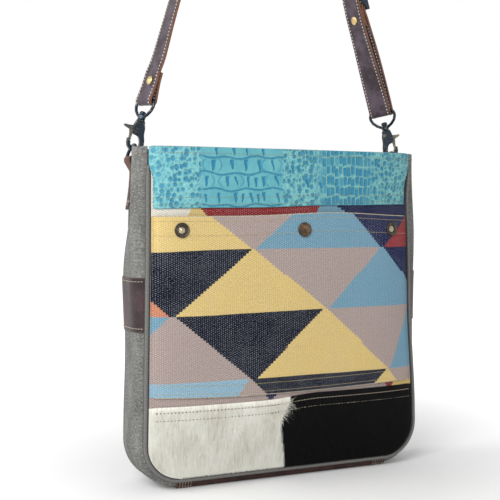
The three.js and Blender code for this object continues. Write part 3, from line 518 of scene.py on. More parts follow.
# weft over warp: upright cords made of short rounded ticks, shifted by half a tick on each second cord
def weave(x, y, pitchX, pitchY):
    shift = ((x / pitchX).floor() * 0.5).fract()
    cord = (x * (math.pi / pitchX)).sin().abs()
    tick = ((y / pitchY + shift) * math.pi).sin().abs()
    return (cord * 0.5 + 0.5) * (tick * 0.85 + 0.15)


def canvasFinish(name, base, dark, pitch=0.9):
    f = Finish(name, rough=0.92, Specular_IOR_Level=0.2)
    vector, u, v, _ = f.where("UV")
    threads = (u * (math.pi / pitch)).sin().abs() * (v * (math.pi / pitch)).sin().abs()
    fine = f.noise(vector, 0.55, 5.0, 0.8)
    patchy = f.noise(f.vector(u * 0.07, v * 0.03, 0.0), 1.0, 4.0, 0.65)
    worn = f.mix(patchy.ramp(0.36, 0.64), dark, base)
    worn = f.mix(fine.ramp(0.5, 0.66) * 0.6, worn, srgb(186, 186, 180))
    worn = f.mix((1 - fine).ramp(0.5, 0.66) * 0.6, worn, srgb(60, 60, 58))
    worn = f.mix((1 - threads) * 0.16, worn, srgb(60, 60, 56))
    f.colour(worn)
    f.bump(threads * 0.5 + fine * 1.2, 0.35, 0.8)
    return f


canvas = canvasFinish("canvas", srgb(132, 132, 129), srgb(104, 104, 103))
canvasDark = canvasFinish("canvasHem", srgb(140, 140, 141), srgb(112, 112, 113))
canvasBack = canvasFinish("canvasBack", srgb(134, 134, 130), srgb(112, 112, 108))

# painted shade in the groove beside the cord follows the angle round it, which starts on another side for the
# back's cord
pipingCloth = Finish("pipingCanvas", rough=0.95, Specular_IOR_Level=0.15)
vector, u, v, _ = pipingCloth.where("UV")
_, _, py, _ = pipingCloth.where("Object")
turn = (u / 15 - (py < 0) * 0.86 - (py > 0) * 0.14 + 0.5).fract() - 0.5
paintedGrooveShade = turn.abs().ramp(0.13, 0.23)
cloth = pipingCloth.mottle(pipingCloth.noise(vector, 0.9, 4.0, 0.7), 0.35, 0.65, srgb(96, 96, 95),
                           srgb(134, 133, 129))
# painted shade: the cloth is darkened towards near black on both sides of the cord
pipingCloth.colour(pipingCloth.mix(paintedGrooveShade * 0.75, cloth, srgb(30, 30, 30)))
pipingCloth.bump((v * 3.4).sin() * 0.5 + pipingCloth.noise(vector, 0.8, 3.0), 0.35, 0.7)

lining = Finish("lining", rough=0.95, Specular_IOR_Level=0.2)
vector, u, v, _ = lining.where("UV")
lining.colour(lining.mottle(lining.noise(vector, 0.9, 3.0), 0.3, 0.7, srgb(178, 165, 140),
                            srgb(196, 184, 160)))
lining.bump((u * 3.0).sin().abs() * (v * 3.0).sin().abs() + lining.noise(vector, 0.05, 3.0) * 3, 0.3, 0.5)


# grained leather: cloudy tones, and a relief of small cells and creases
def leatherFinish(name, base, light, rough=0.42, grain=0.55):
    f = Finish(name, rough=rough, Specular_IOR_Level=0.32)
    vector = f.where("Object")[0]
    crackle = f.cells(vector, 900.0)
    cloud = f.noise(vector, 55.0, 5.0, 0.65)
    broad = f.noise(vector, 14.0, 3.0, 0.5)
    f.colour(f.mix(cloud.ramp(0.4, 0.64) * 0.85, base, light))
    f.rough(rough - 0.1 + broad * 0.3)
    f.bump(crackle.ramp(0.0, 0.12) * 0.6 + cloud * 1.6, grain, 0.55)
    return f


bandLeather = leatherFinish("bandLeather", srgb(40, 27, 31), srgb(74, 54, 58), 0.34)
baseBrown = leatherFinish("baseLeather", srgb(46, 26, 23), srgb(80, 50, 43), 0.5)
tabBrown = leatherFinish("tabLeather", srgb(62, 40, 32), srgb(98, 64, 48), 0.55)
strapBrown = leatherFinish("strapLeather", srgb(46, 34, 41), srgb(94, 80, 92), 0.36)

cutEdge = Finish("cutEdge", rough=0.7)
vector = cutEdge.where("Object")[0]
cutEdge.colour(cutEdge.mottle(cutEdge.noise(vector, 700.0, 3.0), 0.3, 0.75, srgb(88, 54, 36),
                              srgb(136, 88, 56)))
cutEdge.bump(cutEdge.noise(vector, 900.0, 3.0), 0.3, 0.6)


def threadFinish(name, colour, dark):
    f = Finish(name, rough=0.75)
    vector = f.where("Object")[0]
    f.colour(f.mottle(f.noise(vector, 1600.0, 2.0), 0.35, 0.65, dark, colour))
    f.bump(f.noise(vector, 3000.0, 1.0), 0.15, 0.4)
    return f


creamThread = threadFinish("creamThread", srgb(206, 196, 176), srgb(150, 138, 118))
paleThread = threadFinish("paleThread", srgb(232, 224, 206), srgb(190, 178, 156))
tanThread = threadFinish("tanThread", srgb(172, 150, 112), srgb(120, 100, 72))
yellowThread = threadFinish("yellowThread", srgb(206, 186, 140), srgb(160, 138, 96))
holeBrown = threadFinish("needleHole", srgb(120, 86, 56), srgb(90, 60, 40))


# worn metal: the worn tone comes through in patches, more of them as wear grows
def metalFinish(name, base, worn, rough, wear):
    f = Finish(name, rough=rough, metal=1.0)
    vector = f.where("Object")[0]
    cloud = f.noise(vector, 180.0, 5.0, 0.7)
    fine = f.noise(vector, 900.0, 3.0, 0.6)
    f.colour(f.mix(cloud.ramp(0.62 - wear * 0.25, 0.85 - wear * 0.2), base, worn))
    f.rough(rough - 0.08 + fine * 0.22)
    f.bump(fine * 0.5 + cloud, 0.12, 0.4)
    return f


gunmetal = metalFinish("gunmetal", srgb(50, 58, 66), srgb(150, 142, 118), 0.26, 0.25)
gateMetal = metalFinish("gateMetal", srgb(84, 84, 82), srgb(168, 156, 124), 0.28, 0.6)
bronze = metalFinish("snapBronze", srgb(74, 62, 54), srgb(128, 104, 76), 0.4, 0.6)
snapDark = metalFinish("snapRingDark", srgb(64, 58, 54), srgb(120, 108, 88), 0.34, 0.5)
eyeMetal = metalFinish("snapEye", srgb(150, 142, 122), srgb(196, 186, 156), 0.2, 0.6)
brass = metalFinish("antiqueBrass", srgb(196, 168, 116), srgb(232, 214, 172), 0.3, 0.6)
zipCloth = canvasFinish("zipTape", srgb(58, 50, 44), srgb(42, 36, 32), 0.7)


# the kilim: fields of colour between slanted lines, woven over upright cords

yarn = dict(yellow=srgb(226, 198, 126), navy=srgb(9, 16, 33), greige=srgb(176, 158, 151),
            blue=srgb(116, 160, 182), red=srgb(148, 42, 40), orange=srgb(206, 134, 98),
            pale=srgb(236, 230, 216), low=srgb(146, 184, 204), deep=srgb(8, 20, 68))
kilim = dict(rib=2.0, pick=1.7, step=2.3, stepShare=0.8)

# rows from the top: z of the row's top and bottom, the first colour, and where each next colour starts,
# as (x at the top, x at the bottom, colour)
pocketRows = [
    (258, 225, "yellow", [(-88, -44.5, "greige"), (-0.5, -41, "blue"), (67, 100.5, "deep"),
                          (139, 105, "red")]),
    (225, 163.5, "orange", [(-191, -125, "navy"), (-44.5, -120, "yellow"), (-42.5, 36, "greige"),
                            (100.5, 38.5, "blue"), (104, 165, "deep")]),
    (163.5, 101.5, "blue", [(-125, -186, "greige"), (-120, -44.5, "navy"), (32.5, -38, "yellow"),
                            (36.5, 111, "greige"), (142.5, 113, "blue")]),
    (101.5, 80, "low", [(-46, -62, "greige"), (-44, -22, "navy"), (109, 84, "yellow"),
                        (110.7, 129, "greige")]),
]
groundRows = [
    (270, 255.5, "pale", [(-98, -107, "yellow"), (-98, -86, "red"), (34, 26, "blue"), (44, 70, "deep")]),
    (255.5, 91, "greige", []),
    (91, 79, "greige", [(-35, -23, "deep"), (-8, -23, "greige"), (104.5, 113, "red"), (121, 113, "yellow")]),
]


# an edge between two fields moves in steps of the weft, and wanders a little from cord to cord
def kilimFinish(name, rows):
    f = Finish(name, rough=0.93, Specular_IOR_Level=0.12)
    vector, u, v, _ = f.where("UV")
    rib, step = kilim["rib"], kilim["step"]
    cordU = (u / rib).floor() * rib + rib / 2
    wander = f.noise(f.vector(cordU * 0.03, 0.0, 0.0), 1.0, 2.0) * 1.2 - 0.6
    bend = (u * -1).ramp(80, 141) * (v > 200) * 2.5 - u.ramp(-100, 30) * (v < 200) * (v > 130) * 2.2
    level = v + wander + bend
    stepV = level + (((level / step).floor() + 0.5) * step - level) * kilim["stepShare"]
    colour = None
    for top, bottom, first, edges in rows:
        field = yarn[first]
        for xTop, xBottom, nextYarn in edges:
            edge = (stepV - bottom) * ((xTop - xBottom) / (top - bottom)) + xBottom
            field = f.mix((u - edge).ramp(-0.25, 0.25), field, yarn[nextYarn])
        colour = field if colour is None else f.mix((level - top).ramp(-0.2, 0.2), field, colour)
    # dyed yarn: each cord a little lighter or darker, and slow streaks; the speckle where the cords cross is
    # painted highlight on the raised ticks and painted shade between them
    streak = f.noise(f.vector(cordU * 0.35, v * 0.02, 0.0), 1.0, 2.0)
    slub = f.noise(f.vector(u * 0.9, v * 0.7, 0.0), 1.0, 3.0, 0.6)
    broad = f.noise(vector, 0.03, 2.0)
    cords = weave(u, v, rib, kilim["pick"])
    paintedWeaveLightShade = (cords - 0.5) * (0.5 + broad)
    # lighter slubs and streaks are the yarn's own; on the raised ticks this lightening is painted highlight
    light = (paintedWeaveLightShade + (slub - 0.5) * 1.4 + (streak - 0.5) * 0.15).ramp(0.18, 0.55)
    # darker slubs are the yarn's own; between the ticks this darkening is painted shade
    yarnDarkAndPaintedShade = (paintedWeaveLightShade * -1.2 + (0.5 - slub) * 1.4).ramp(0.0, 0.5)
    colour = f.mix(light * 0.3, colour, srgb(222, 226, 238))
    colour = f.mix(yarnDarkAndPaintedShade * 0.5, colour, srgb(22, 20, 22))
    f.colour(colour)
    f.bump(cords + slub * 0.4, 0.45, 0.7)
    return f


kilimPocket = kilimFinish("kilimPocket", pocketRows)
kilimGround = kilimFinish("kilimGround", groundRows)

kilimEdge = Finish("kilimEdge", rough=0.95, Specular_IOR_Level=0.15)
vector = kilimEdge.where("UV")[0]
kilimEdge.colour(kilimEdge.mottle(kilimEdge.noise(vector, 0.9, 3.0), 0.35, 0.65, srgb(150, 140, 124),
                                  srgb(205, 196, 176)))
kilimEdge.bump(kilimEdge.noise(vector, 2.0, 3.0), 0.4, 0.7)

# embossed leather: round scales at both ends, tall ones right of the middle, belly scales left of it

scales = dict(deep=srgb(14, 124, 168), mid=srgb(80, 158, 174), pale=srgb(112, 184, 190),
              ridge=srgb(150, 212, 206), bellyLeft=-92, bellyRight=-9, tallLeft=33, tallRight=90, row=15.1,
              rowShift=5.8, roundness=0.72, tallness=0.4)
# belly slots: (x, z of the middle, half width, half height, slant)
slots = [(-80, 303.5, 1.9, 5.2, 0.1), (-61, 304.5, 1.7, 4.6, -0.05), (-47, 304, 1.5, 5.6, 0),
         (-33, 304, 1.5, 5.6, -0.1), (-19, 304.5, 0.9, 5.0, -0.2), (-87, 288.5, 1.3, 5.0, 0.1),
         (-66, 288.5, 1.5, 5.0, 0), (-57, 289, 0.8, 4.2, -0.3), (-45, 288.5, 1.0, 5.5, 0),
         (-37, 288, 1.3, 4.5, 0.05), (-29, 289, 1.6, 5.0, 0), (-15, 290, 1.2, 4.8, -0.35),
         (-88, 272.5, 1.0, 4.0, 0), (-75, 273, 1.1, 5.0, 0), (-58, 273.5, 1.4, 5.0, 0),
         (-51, 273, 1.0, 4.2, 0.2), (-42, 273.5, 1.2, 4.8, -0.2), (-35, 273, 1.0, 4.0, 0),
         (-29, 274.5, 1.4, 4.2, 0), (-14, 273.5, 1.1, 4.6, -0.2), (-77, 316.5, 1.0, 3.6, 0),
         (-59, 317, 1.3, 4.0, 0), (-46, 317, 0.9, 4.0, 0), (-29, 317, 1.1, 3.6, 0), (18, 288, 1.7, 4.6, -0.25),
         (33, 286, 1.6, 3.0, -0.1), (2, 302.5, 1.7, 2.2, 0), (8, 302, 1.5, 2.4, 0)]
# curved ends of the belly scales: (x, z, radius across, radius up)
arcs = [(-81, 303.8, 9.5, 7.4), (-86.5, 288.7, 7.2, 7.2), (-62, 288.7, 12.5, 7.2), (-20, 304.3, 11, 7.2),
        (-17, 289.3, 10, 7.0), (-17, 304.3, 14, 7.4)]


# dark slots and gaps between the scales, light ridges round them, and each zone's share along the band
def embossedFinish():
    f = Finish("turquoiseEmbossed", rough=0.36, Specular_IOR_Level=0.28)
    vector, u, v, _ = f.where("UV")
    drift = f.noise(vector, 0.06, 2.0)
    bent = f.noise(vector, 0.25, 2.0)

    roundAt = f.vector(u * 0.225 + drift * 0.8, v * 0.215 + bent * 0.25)
    tallAt = f.vector(u * 0.215 + bent * 0.2, v * 0.102 + drift * 0.5 + 0.35)
    roundSpot = f.cells(roundAt, 1.0, "F1", scales["roundness"])
    tallSpot = f.cells(tallAt, 1.0, "F1", scales["tallness"], "CHEBYCHEV")
    roundEdge = f.cells(roundAt, 1.0, randomness=scales["roundness"])
    tallEdge = f.cells(tallAt, 1.0, randomness=scales["tallness"])
    wave = (u * 0.21 + (v * 0.07).floor() * 2.1).sin() * 1.1 + (u * 0.09 + 0.8).sin() * 0.9
    wave = wave + (bent - 0.5) * 1.8
    rowAt = (v + scales["rowShift"] + wave) / scales["row"]
    fromRow = ((rowAt + 0.5).fract() - 0.5).abs() * scales["row"]
    rowLine = 1 - fromRow.ramp(0.25, 1.15)
    belly = None
    for x, z, halfWide, halfTall, slant in slots:
        dv = v - z
        du = (u - x - dv * slant + (dv * 0.8).sin() * 0.25).abs()
        wide = dv * (0.5 * halfWide / halfTall) + halfWide
        spot = (1 - (du / wide.most(0.4)).ramp(0.55, 1.15)) * (1 - (dv.abs() / halfTall).ramp(0.8, 1.1))
        belly = spot if belly is None else belly.most(spot)
    for x, z, rx, rz in arcs:
        ring = ((((u - x) / rx) ** 2.0 + ((v - z) / rz) ** 2.0) ** 0.5 - 1).abs()
        ends = ((u - x).abs() / rx).ramp(0.45, 0.8)
        belly = belly.most((1 - ring.ramp(0.02, 0.13)) * ends * 0.5)
    wrinkle = f.noise(f.vector(u * 0.9, v * 0.12, 0.0), 1.0, 3.0, 0.6)
    bentU = u + (bent - 0.5) * 8
    bellyShare = bentU.ramp(scales["bellyLeft"] - 2, scales["bellyLeft"] + 2)
    bellyShare = bellyShare * (1 - bentU.ramp(scales["bellyRight"] - 2, scales["bellyRight"] + 2))
    tallShare = (u.ramp(scales["tallLeft"] - 8, scales["tallLeft"] + 6)
                 * (1 - u.ramp(scales["tallRight"] - 6, scales["tallRight"] + 8)))
    dark = 1 - roundSpot.ramp(0.34, 0.54)
    dark = dark + ((1 - tallSpot.ramp(0.3, 0.44)) - dark) * tallShare
    dark = dark * (0.5 + drift * 0.6)
    ends = (1 - u.ramp(-146, -124)) + u.ramp(104, 134)
    dark = dark * (1 - ends * 0.55)
    bigSpots = belly * (1 - bellyShare) * u.ramp(-6, -2)
    belly = belly.most(rowLine * (0.55 + bent * 0.6))
    dark = (dark + (belly - dark) * bellyShare).most(bigSpots)
    ridge = 1 - roundEdge.ramp(0.02, 0.16)
    ridge = ridge + ((1 - tallEdge.ramp(0.02, 0.14)) - ridge) * tallShare
    ridge = ridge * (1 - bellyShare)
    tone = f.mix((drift * 0.6 + wrinkle * 0.5).ramp(0.3, 0.75), scales["mid"], scales["pale"])
    # painted light: lighter towards the left end of the band, and painted shade darkening it towards the right
    tone = f.mix((1 - u.ramp(-140, -70)) * 0.4, tone, srgb(120, 200, 220))
    tone = f.mix(u.ramp(-10, 130) * 0.7, tone, srgb(56, 120, 134))
    tone = f.mix(ridge * 0.55, tone, scales["ridge"])
    tone = f.mix(dark * 0.92, tone, scales["deep"])
    dust = f.noise(vector, 0.9, 4.0, 0.7).ramp(0.52, 0.8)
    tone = f.mix(dust * 0.2, tone, srgb(190, 220, 212))
    f.colour(tone)
    f.rough(0.34 + dark * 0.2 + wrinkle * 0.12)
    f.bump((1 - dark) * 0.9 + ridge * 0.5 + wrinkle * 0.35, 0.9, 1.1)
    return f


turquoise = embossedFinish()

turquoiseEdge = Finish("turquoiseCutEdge", rough=0.7)
edgeNoise = turquoiseEdge.noise(turquoiseEdge.where("UV")[0], 1.2, 3.0)
turquoiseEdge.colour(turquoiseEdge.mix(edgeNoise, srgb(60, 120, 136), srgb(128, 178, 184)))


# hair-on hide: white left of a ragged border, black right of it, by the root of each hair (UV in millimetres)
def hideColour(f, blackTone, blackLight):
    _, x, z, _ = f.where("UV")
    ragged = f.noise(f.vector(x * 0.09, z * 0.06, 0.0), 1.0, 4.0, 0.65) - 0.5
    tuft = f.noise(f.vector(x * 0.5, z * 0.04, 1.7), 1.0, 2.0, 0.6) - 0.5
    middle = z * -0.1 - 5.6 + z.ramp(58, 79) * 12 + z.ramp(28, 56) * -3 + 2.2
    border = x - middle + ragged * 5 + tuft * 5
    streak = f.noise(f.vector(x * 0.9, z * 0.06, 0.0), 1.0, 3.0, 0.6)
    broad = f.noise(f.vector(x * 0.05, z * 0.024, 0.0), 1.0, 3.0, 0.6)
    white = f.mix((streak * 0.6 + broad * 0.5).ramp(0.36, 0.62), srgb(206, 203, 186), srgb(242, 241, 232))
    black = f.mix(streak.ramp(0.45, 0.8), blackTone, blackLight)
    return f.mix(border.ramp(-0.8, 0.8), white, black), streak


hideSkin = Finish("hideHair", rough=0.6, Specular_IOR_Level=0.1)
tone, streak = hideColour(hideSkin, srgb(3, 3, 3), srgb(11, 10, 12))
hideSkin.colour(tone)
hideSkin.bump(streak, 0.5, 0.8)
hairFinish = Finish("hideStrands", rough=0.5, Specular_IOR_Level=0.12)
tone, streak = hideColour(hairFinish, srgb(3, 3, 4), srgb(13, 12, 14))
hairFinish.colour(tone)

print("materials made")

# the body

gap = body["gap"]
edgeInset = body["piping"] + gap


# heights of the patches' edges across the front: none is quite level
def bandEdge(x):
    return 263.2 + 5.0 * smooth(x, -150, 150) + 0.3 * np.sin(x / 19)


def pocketMouth(x):
    return 255.4 + 3.6 * np.exp(-((x - 45) / 62) ** 2)


def pocketFoot(x):
    return 86.2 + 3.0 * smooth(-x, 50, 150) + 2.4 * smooth(x, 0, 140)


def hideEdge(x):
    return 78.9 + 3.6 * smooth(x, -30, 30)


# columns from -1 to 1, a little closer at both ends
def columnShares(columns):
    even = np.linspace(-1, 1, columns)
    return np.sin(even * math.pi / 2) * 0.35 + even * 0.65


# a patch between two such edges; its columns follow the seams' slope in three rounds
def patchGrid(low, high, lift, place, columns, rows, inset=lambda z: edgeInset):
    share, level = columnShares(columns)[None, :], np.linspace(0, 1, rows)[:, None]
    x = np.broadcast_to(share * (halfWidth(200) - edgeInset), (rows, columns))
    for _ in range(3):
        z = mixed(low(x), high(x), level)
        x = share * (halfWidth(z) - inset(z))
    return place(x, z, lift), np.stack([x, z], -1)


# a piece from seam to seam, with a row of points at each height
def frontGrid(heights, lift, place, columns):
    x = columnShares(columns)[None, :] * halfWidth(heights, edgeInset)[:, None]
    z = np.broadcast_to(heights[:, None], x.shape)
    return place(x, z, lift), np.stack([x, z], -1)


# heights from the foot up: crowded rows in the rounded corners, then even ones
def cornerRows(top, even, inCorner=22):
    low = body["seamLift"] + edgeInset
    arc = cornerTop - (body["corner"] - edgeInset) * np.cos(np.linspace(0.02, math.pi / 2, inCorner))
    return np.concatenate([arc[(arc < cornerTop - 0.2) & (arc >= low)], np.linspace(cornerTop, top, even)])


# the flat size a sewn cloth piece is cut to, from the outline of its grid in millimetres, is printed
def sewnSheet(piece, flat):
    x, z = rimOf(flat).T
    area = abs(np.sum(x * np.roll(z, -1) - np.roll(x, -1) * z)) / 2
    width, length = (x.max() - x.min()) / 1000, (z.max() - z.min()) / 1000
    area / 1e6
    print("sheet", piece.name, round(width, 4), round(length, 4), round(area / 1e6, 5))


for name, place, node, finish, slotName in (
        ("frontPanel", frontPoint, "front_panel", kilimGround, "kilim"),
        ("backPanel", backPoint, "back_panel", canvasBack, "canvas")):
    points, uv = frontGrid(cornerRows(body["height"], 90), 0.0, place, 110)
    panel = slab(name, points, body["panel"], uv)
    finishPiece(panel, "bag", [finish, canvasDark, canvas], [node])
    sewnSheet(panel, uv)


# a layer is as thick as it stands off the front, less a small gap
def layerThickness(uv, lift):
    return caught(uv[..., 0], uv[..., 1], lift) - gap * 0.4


# the band's ends stand clear of the seams, and flare out to them near the mouth
def bandInset(z):
    wavy = 0.25 * np.sin(z * 1.7) * (1 - smooth(z, 300, 306))
    return mixed(edgeInset + 1.6, 0.4, smooth(z, 289, 306)) + wavy


bandLift = gap + patches["bandThickness"]
points, uv = patchGrid(bandEdge, lambda x: 0 * x + body["height"], bandLift, layerPoint, 150, 60, bandInset)
band = slab("topBand", points, layerThickness(uv, bandLift), uv)
finishPiece(band, "bag", [turquoise, turquoiseEdge, turquoiseEdge], ["top_band"])

hideLift = gap + patches["hideThickness"]
hideSplit = 60  # below it the rows are level, and above it they turn to the hide's slanted edge
points, uv = frontGrid(cornerRows(hideSplit, 20), hideLift, layerPoint, 150)
upper, upperUv = patchGrid(lambda x: 0 * x + hideSplit, hideEdge, hideLift, layerPoint, 150, 20)
points, uv = np.concatenate([points, upper[1:]]), np.concatenate([uv, upperUv[1:]])
hide = slab("hidePanel", points, layerThickness(uv, hideLift), uv, bulge=1.0)
finishPiece(hide, "bag", [hideSkin] * 3, ["cowhide_panel"])

points, uv = patchGrid(pocketFoot, pocketMouth, 0.0, pocketPoint, 180, 105)
pocket = slab("pocket", points, layerThickness(uv, patches["pocketThickness"] + gap), uv, bulge=1.0)
finishPiece(pocket, "bag", [kilimPocket, kilimEdge, kilimEdge], ["kilim_pocket"])
sewnSheet(pocket, uv)

# gusset: close rows in the corners, close columns at the seams; its UV is in millimetres too
gussetHalf = 26.0
runs = np.concatenate([np.linspace(0, sideRun, 90), np.linspace(sideRun, sideRun + cornerRun, 26)[1:],
                       np.linspace(sideRun + cornerRun, halfRun, 18)[1:]])
runs = np.concatenate([runs, (2 * halfRun - runs[:-1])[::-1]])


# a sheet on the gusset: along it by run, across it by a share of its depth, closer at the seams
def gussetPatch(name, run, reach, lift, thickness, looks, nodes=(), columns=50):
    run = run[:, None]
    depth = np.sin(np.linspace(-1, 1, columns) * math.pi / 2)[None, :] * reach
    uv = np.stack(np.broadcast_arrays(depth * gussetHalf, run), -1)
    patch = slab(name, gussetPoint(run, depth, lift), thickness, uv)
    finishPiece(patch, "bag", looks, nodes)


gussetPatch("gussetCanvas", runs, 1.0, 0.0, side["thickness"],
            [canvas, canvasDark, canvas], ["gusset"], 61)


# a line of thread across the gusset, and the direction off the cloth
def gussetLine(run, reach, lift):
    depth = np.linspace(-reach, reach, 80)
    path = gussetPoint(np.full(80, run), depth, lift)
    return path, unit(gussetPoint(np.full(80, run), depth, lift + 1) - path)


sideBand = dict(top=199, bottom=149, reach=0.995, thickness=0.9)
baseLeather = dict(half=113, reach=0.97, thickness=1.6)
hem = dict(start=0.2, end=6.4, reach=0.995, lift=-0.4, thickness=0.5)
bandTop, bandLow = seamDistance(sideBand["top"]), seamDistance(sideBand["bottom"])
for name, node, a, b in (("sideBandLeft", "side_band_left", bandTop, bandLow),
                         ("sideBandRight", "side_band_right", 2 * halfRun - bandLow, 2 * halfRun - bandTop)):
    gussetPatch(name, np.linspace(a, b, 40), sideBand["reach"], sideBand["thickness"], sideBand["thickness"],
                [bandLeather, cutEdge, bandLeather], [node])
gussetPatch("baseLeather", np.linspace(halfRun - baseLeather["half"], halfRun + baseLeather["half"], 90),
            baseLeather["reach"], gap + baseLeather["thickness"], baseLeather["thickness"],
            [baseBrown, cutEdge, baseBrown], ["base_leather"])
for name, a, b in (("gussetHemLeft", hem["start"], hem["end"]),
                   ("gussetHemRight", 2 * halfRun - hem["end"], 2 * halfRun - hem["start"])):
    gussetPatch(name, np.linspace(a, b, 8), hem["reach"], hem["lift"] + hem["thickness"], hem["thickness"],
                [canvasDark] * 3, columns=70)

# piping: a covered cord along the seam, pinched at its ends, with small puckers
pipeRuns = np.concatenate([np.linspace(seamDistance(303), sideRun, 150),
                           np.linspace(sideRun, sideRun + cornerRun, 40)[1:],
                           np.linspace(sideRun + cornerRun, halfRun, 70)[1:]])
pipeRuns = np.concatenate([pipeRuns, (2 * halfRun - pipeRuns[:-1])[::-1]])
turn = np.arange(14) * math.pi / 7
x, z, nx, nz = seamAt(pipeRuns)
out = np.stack([nx, np.zeros_like(nx), nz], -1)
spokes = np.cos(turn)[None, :, None] * out[:, None] + np.sin(turn)[None, :, None] * np.array([0, 1.0, 0])
pinch = 0.55 + 0.45 * smooth(np.minimum(pipeRuns - pipeRuns[0], pipeRuns[-1] - pipeRuns), 0, 12)
pucker = 1 + 0.025 * np.sin(pipeRuns * 1.9) * np.sin(pipeRuns * 0.31)
radius = body["piping"] * pinch * pucker
for name, sign, node in (("pipingFront", -1, "front_piping"), ("pipingBack", 1, "back_piping")):
    centres = np.stack([x - (drawnIn(x, z) if sign < 0 else 0), sign * seamDepth(z), z], -1)
    uv = np.stack(np.broadcast_arrays(turn[None, :] / (2 * math.pi) * 15, runAlong(centres)[:, None]), -1)
    piping = ringed(name, centres[:, None] + radius[:, None, None] * spokes, uv)
    finishPiece(piping, "bag", [pipingCloth], [node])

# lining: a sack just inside the panels, with soft folds
around = 160
heights = np.linspace(0, 1, 60) ** 1.2 * (307.5 - 14) + 14
angle = np.arange(around) * 2 * math.pi / around


# a rounded box at a height: cosine and sine with powers that square it off, and nine soft folds
def liningRing(z, inset):
    reach = halfWidth(np.maximum(z, body["seamLift"] + inset + 0.01), inset + 3)
    reach = reach - (side["foldTuck"] + 1) * smooth(z, 250, 300)
    x = reach * np.sign(np.cos(angle)) * np.abs(np.cos(angle)) ** 0.55
    rounding = np.sqrt(np.clip(1 - np.abs(x / reach) ** 14, 0, None))
    front = panelDepth(x, z, body["frontBow"])
    back = panelDepth(x, z, body["backBow"])
    y = np.sign(np.sin(angle)) * (np.where(np.sin(angle) < 0, front, back) - body["panel"] - inset) * rounding
    fold = 0.5 * np.sin(angle * 9 + z / 23) * smooth(z, 60, 200)
    return np.stack([x, y * (1 - fold * 0.03), np.full_like(x, z)], -1)


outer = np.stack([liningRing(h, 0.9) for h in heights])
inner = np.stack([liningRing(max(h, 16.0), 1.9) for h in heights[1:]])[::-1]
wall = np.concatenate([outer, inner])
uvWall = np.stack(np.broadcast_arrays(np.arange(1, around + 1) * 4.2, wall[:, :1, 2]), -1)
finishPiece(ringed("liningSack", wall, uvWall), "bag", [lining], ["lining"])
print("body made")


# the strap and what hangs on it; along the line of pull, w is up the line, v outwards and y the bag's depth

strap = dict(setback=12, lean=math.radians(16.5), across=143, height=323.5, width=25, thickness=2.4,
             apexRadius=28, tailEnd=72, leftRivet=63.5, rightRivet=143, slide=164, slidePitch=12,
             slideRadius=1.6, ringBar=43.5, ringWire=1.6, leftTwist=(15, 6), rightTwist=(27, 8), twistTop=330,
             slideBar=-1.0, slideFrame=4.0, seamInset=2.5)


# a point of the leaning line of pull, moved outwards by v at a right angle to it
def onPull(sign, w, v=0.0):
    sin, cos = math.sin(strap["lean"]), math.cos(strap["lean"])
    w, v, y = np.broadcast_arrays(w, v, strap["setback"])
    x, z = strap["across"] - w * sin + v * cos, strap["height"] + w * cos + v * sin
    return np.stack([sign * x, y, z], -1)


# the strap's turn about its line of pull: most at the ring, less above it, none at the top
def twistAt(sign, w):
    atRing, above = strap["leftTwist"] if sign < 0 else strap["rightTwist"]
    low = mixed(atRing, above, smooth(w, strap["ringBar"], strap["rightRivet"]))
    return np.radians(low * (1 - smooth(w, strap["slide"] + strap["slidePitch"], strap["twistTop"])))


# turns points about their own side's line of pull by the twist at their height
def twisted(points):
    result = np.array(points, float)
    for sign in (-1, 1):
        mine = (result[..., 0] < 0) == (sign < 0)
        p = result[mine]
        origin = onPull(sign, 0.0)
        outward = onPull(sign, 0.0, 1.0) - origin
        arm = p - origin
        w, v = arm @ (onPull(sign, 1.0) - origin), arm @ outward
        turn = twistAt(sign, w)
        move = v * (np.cos(turn) - 1) - sign * arm[:, 1] * np.sin(turn)
        p = p + outward * move[:, None]
        p[:, 1] = strap["setback"] + arm[:, 1] * np.cos(turn) + sign * v * np.sin(turn)
        result[mine] = p
    return result


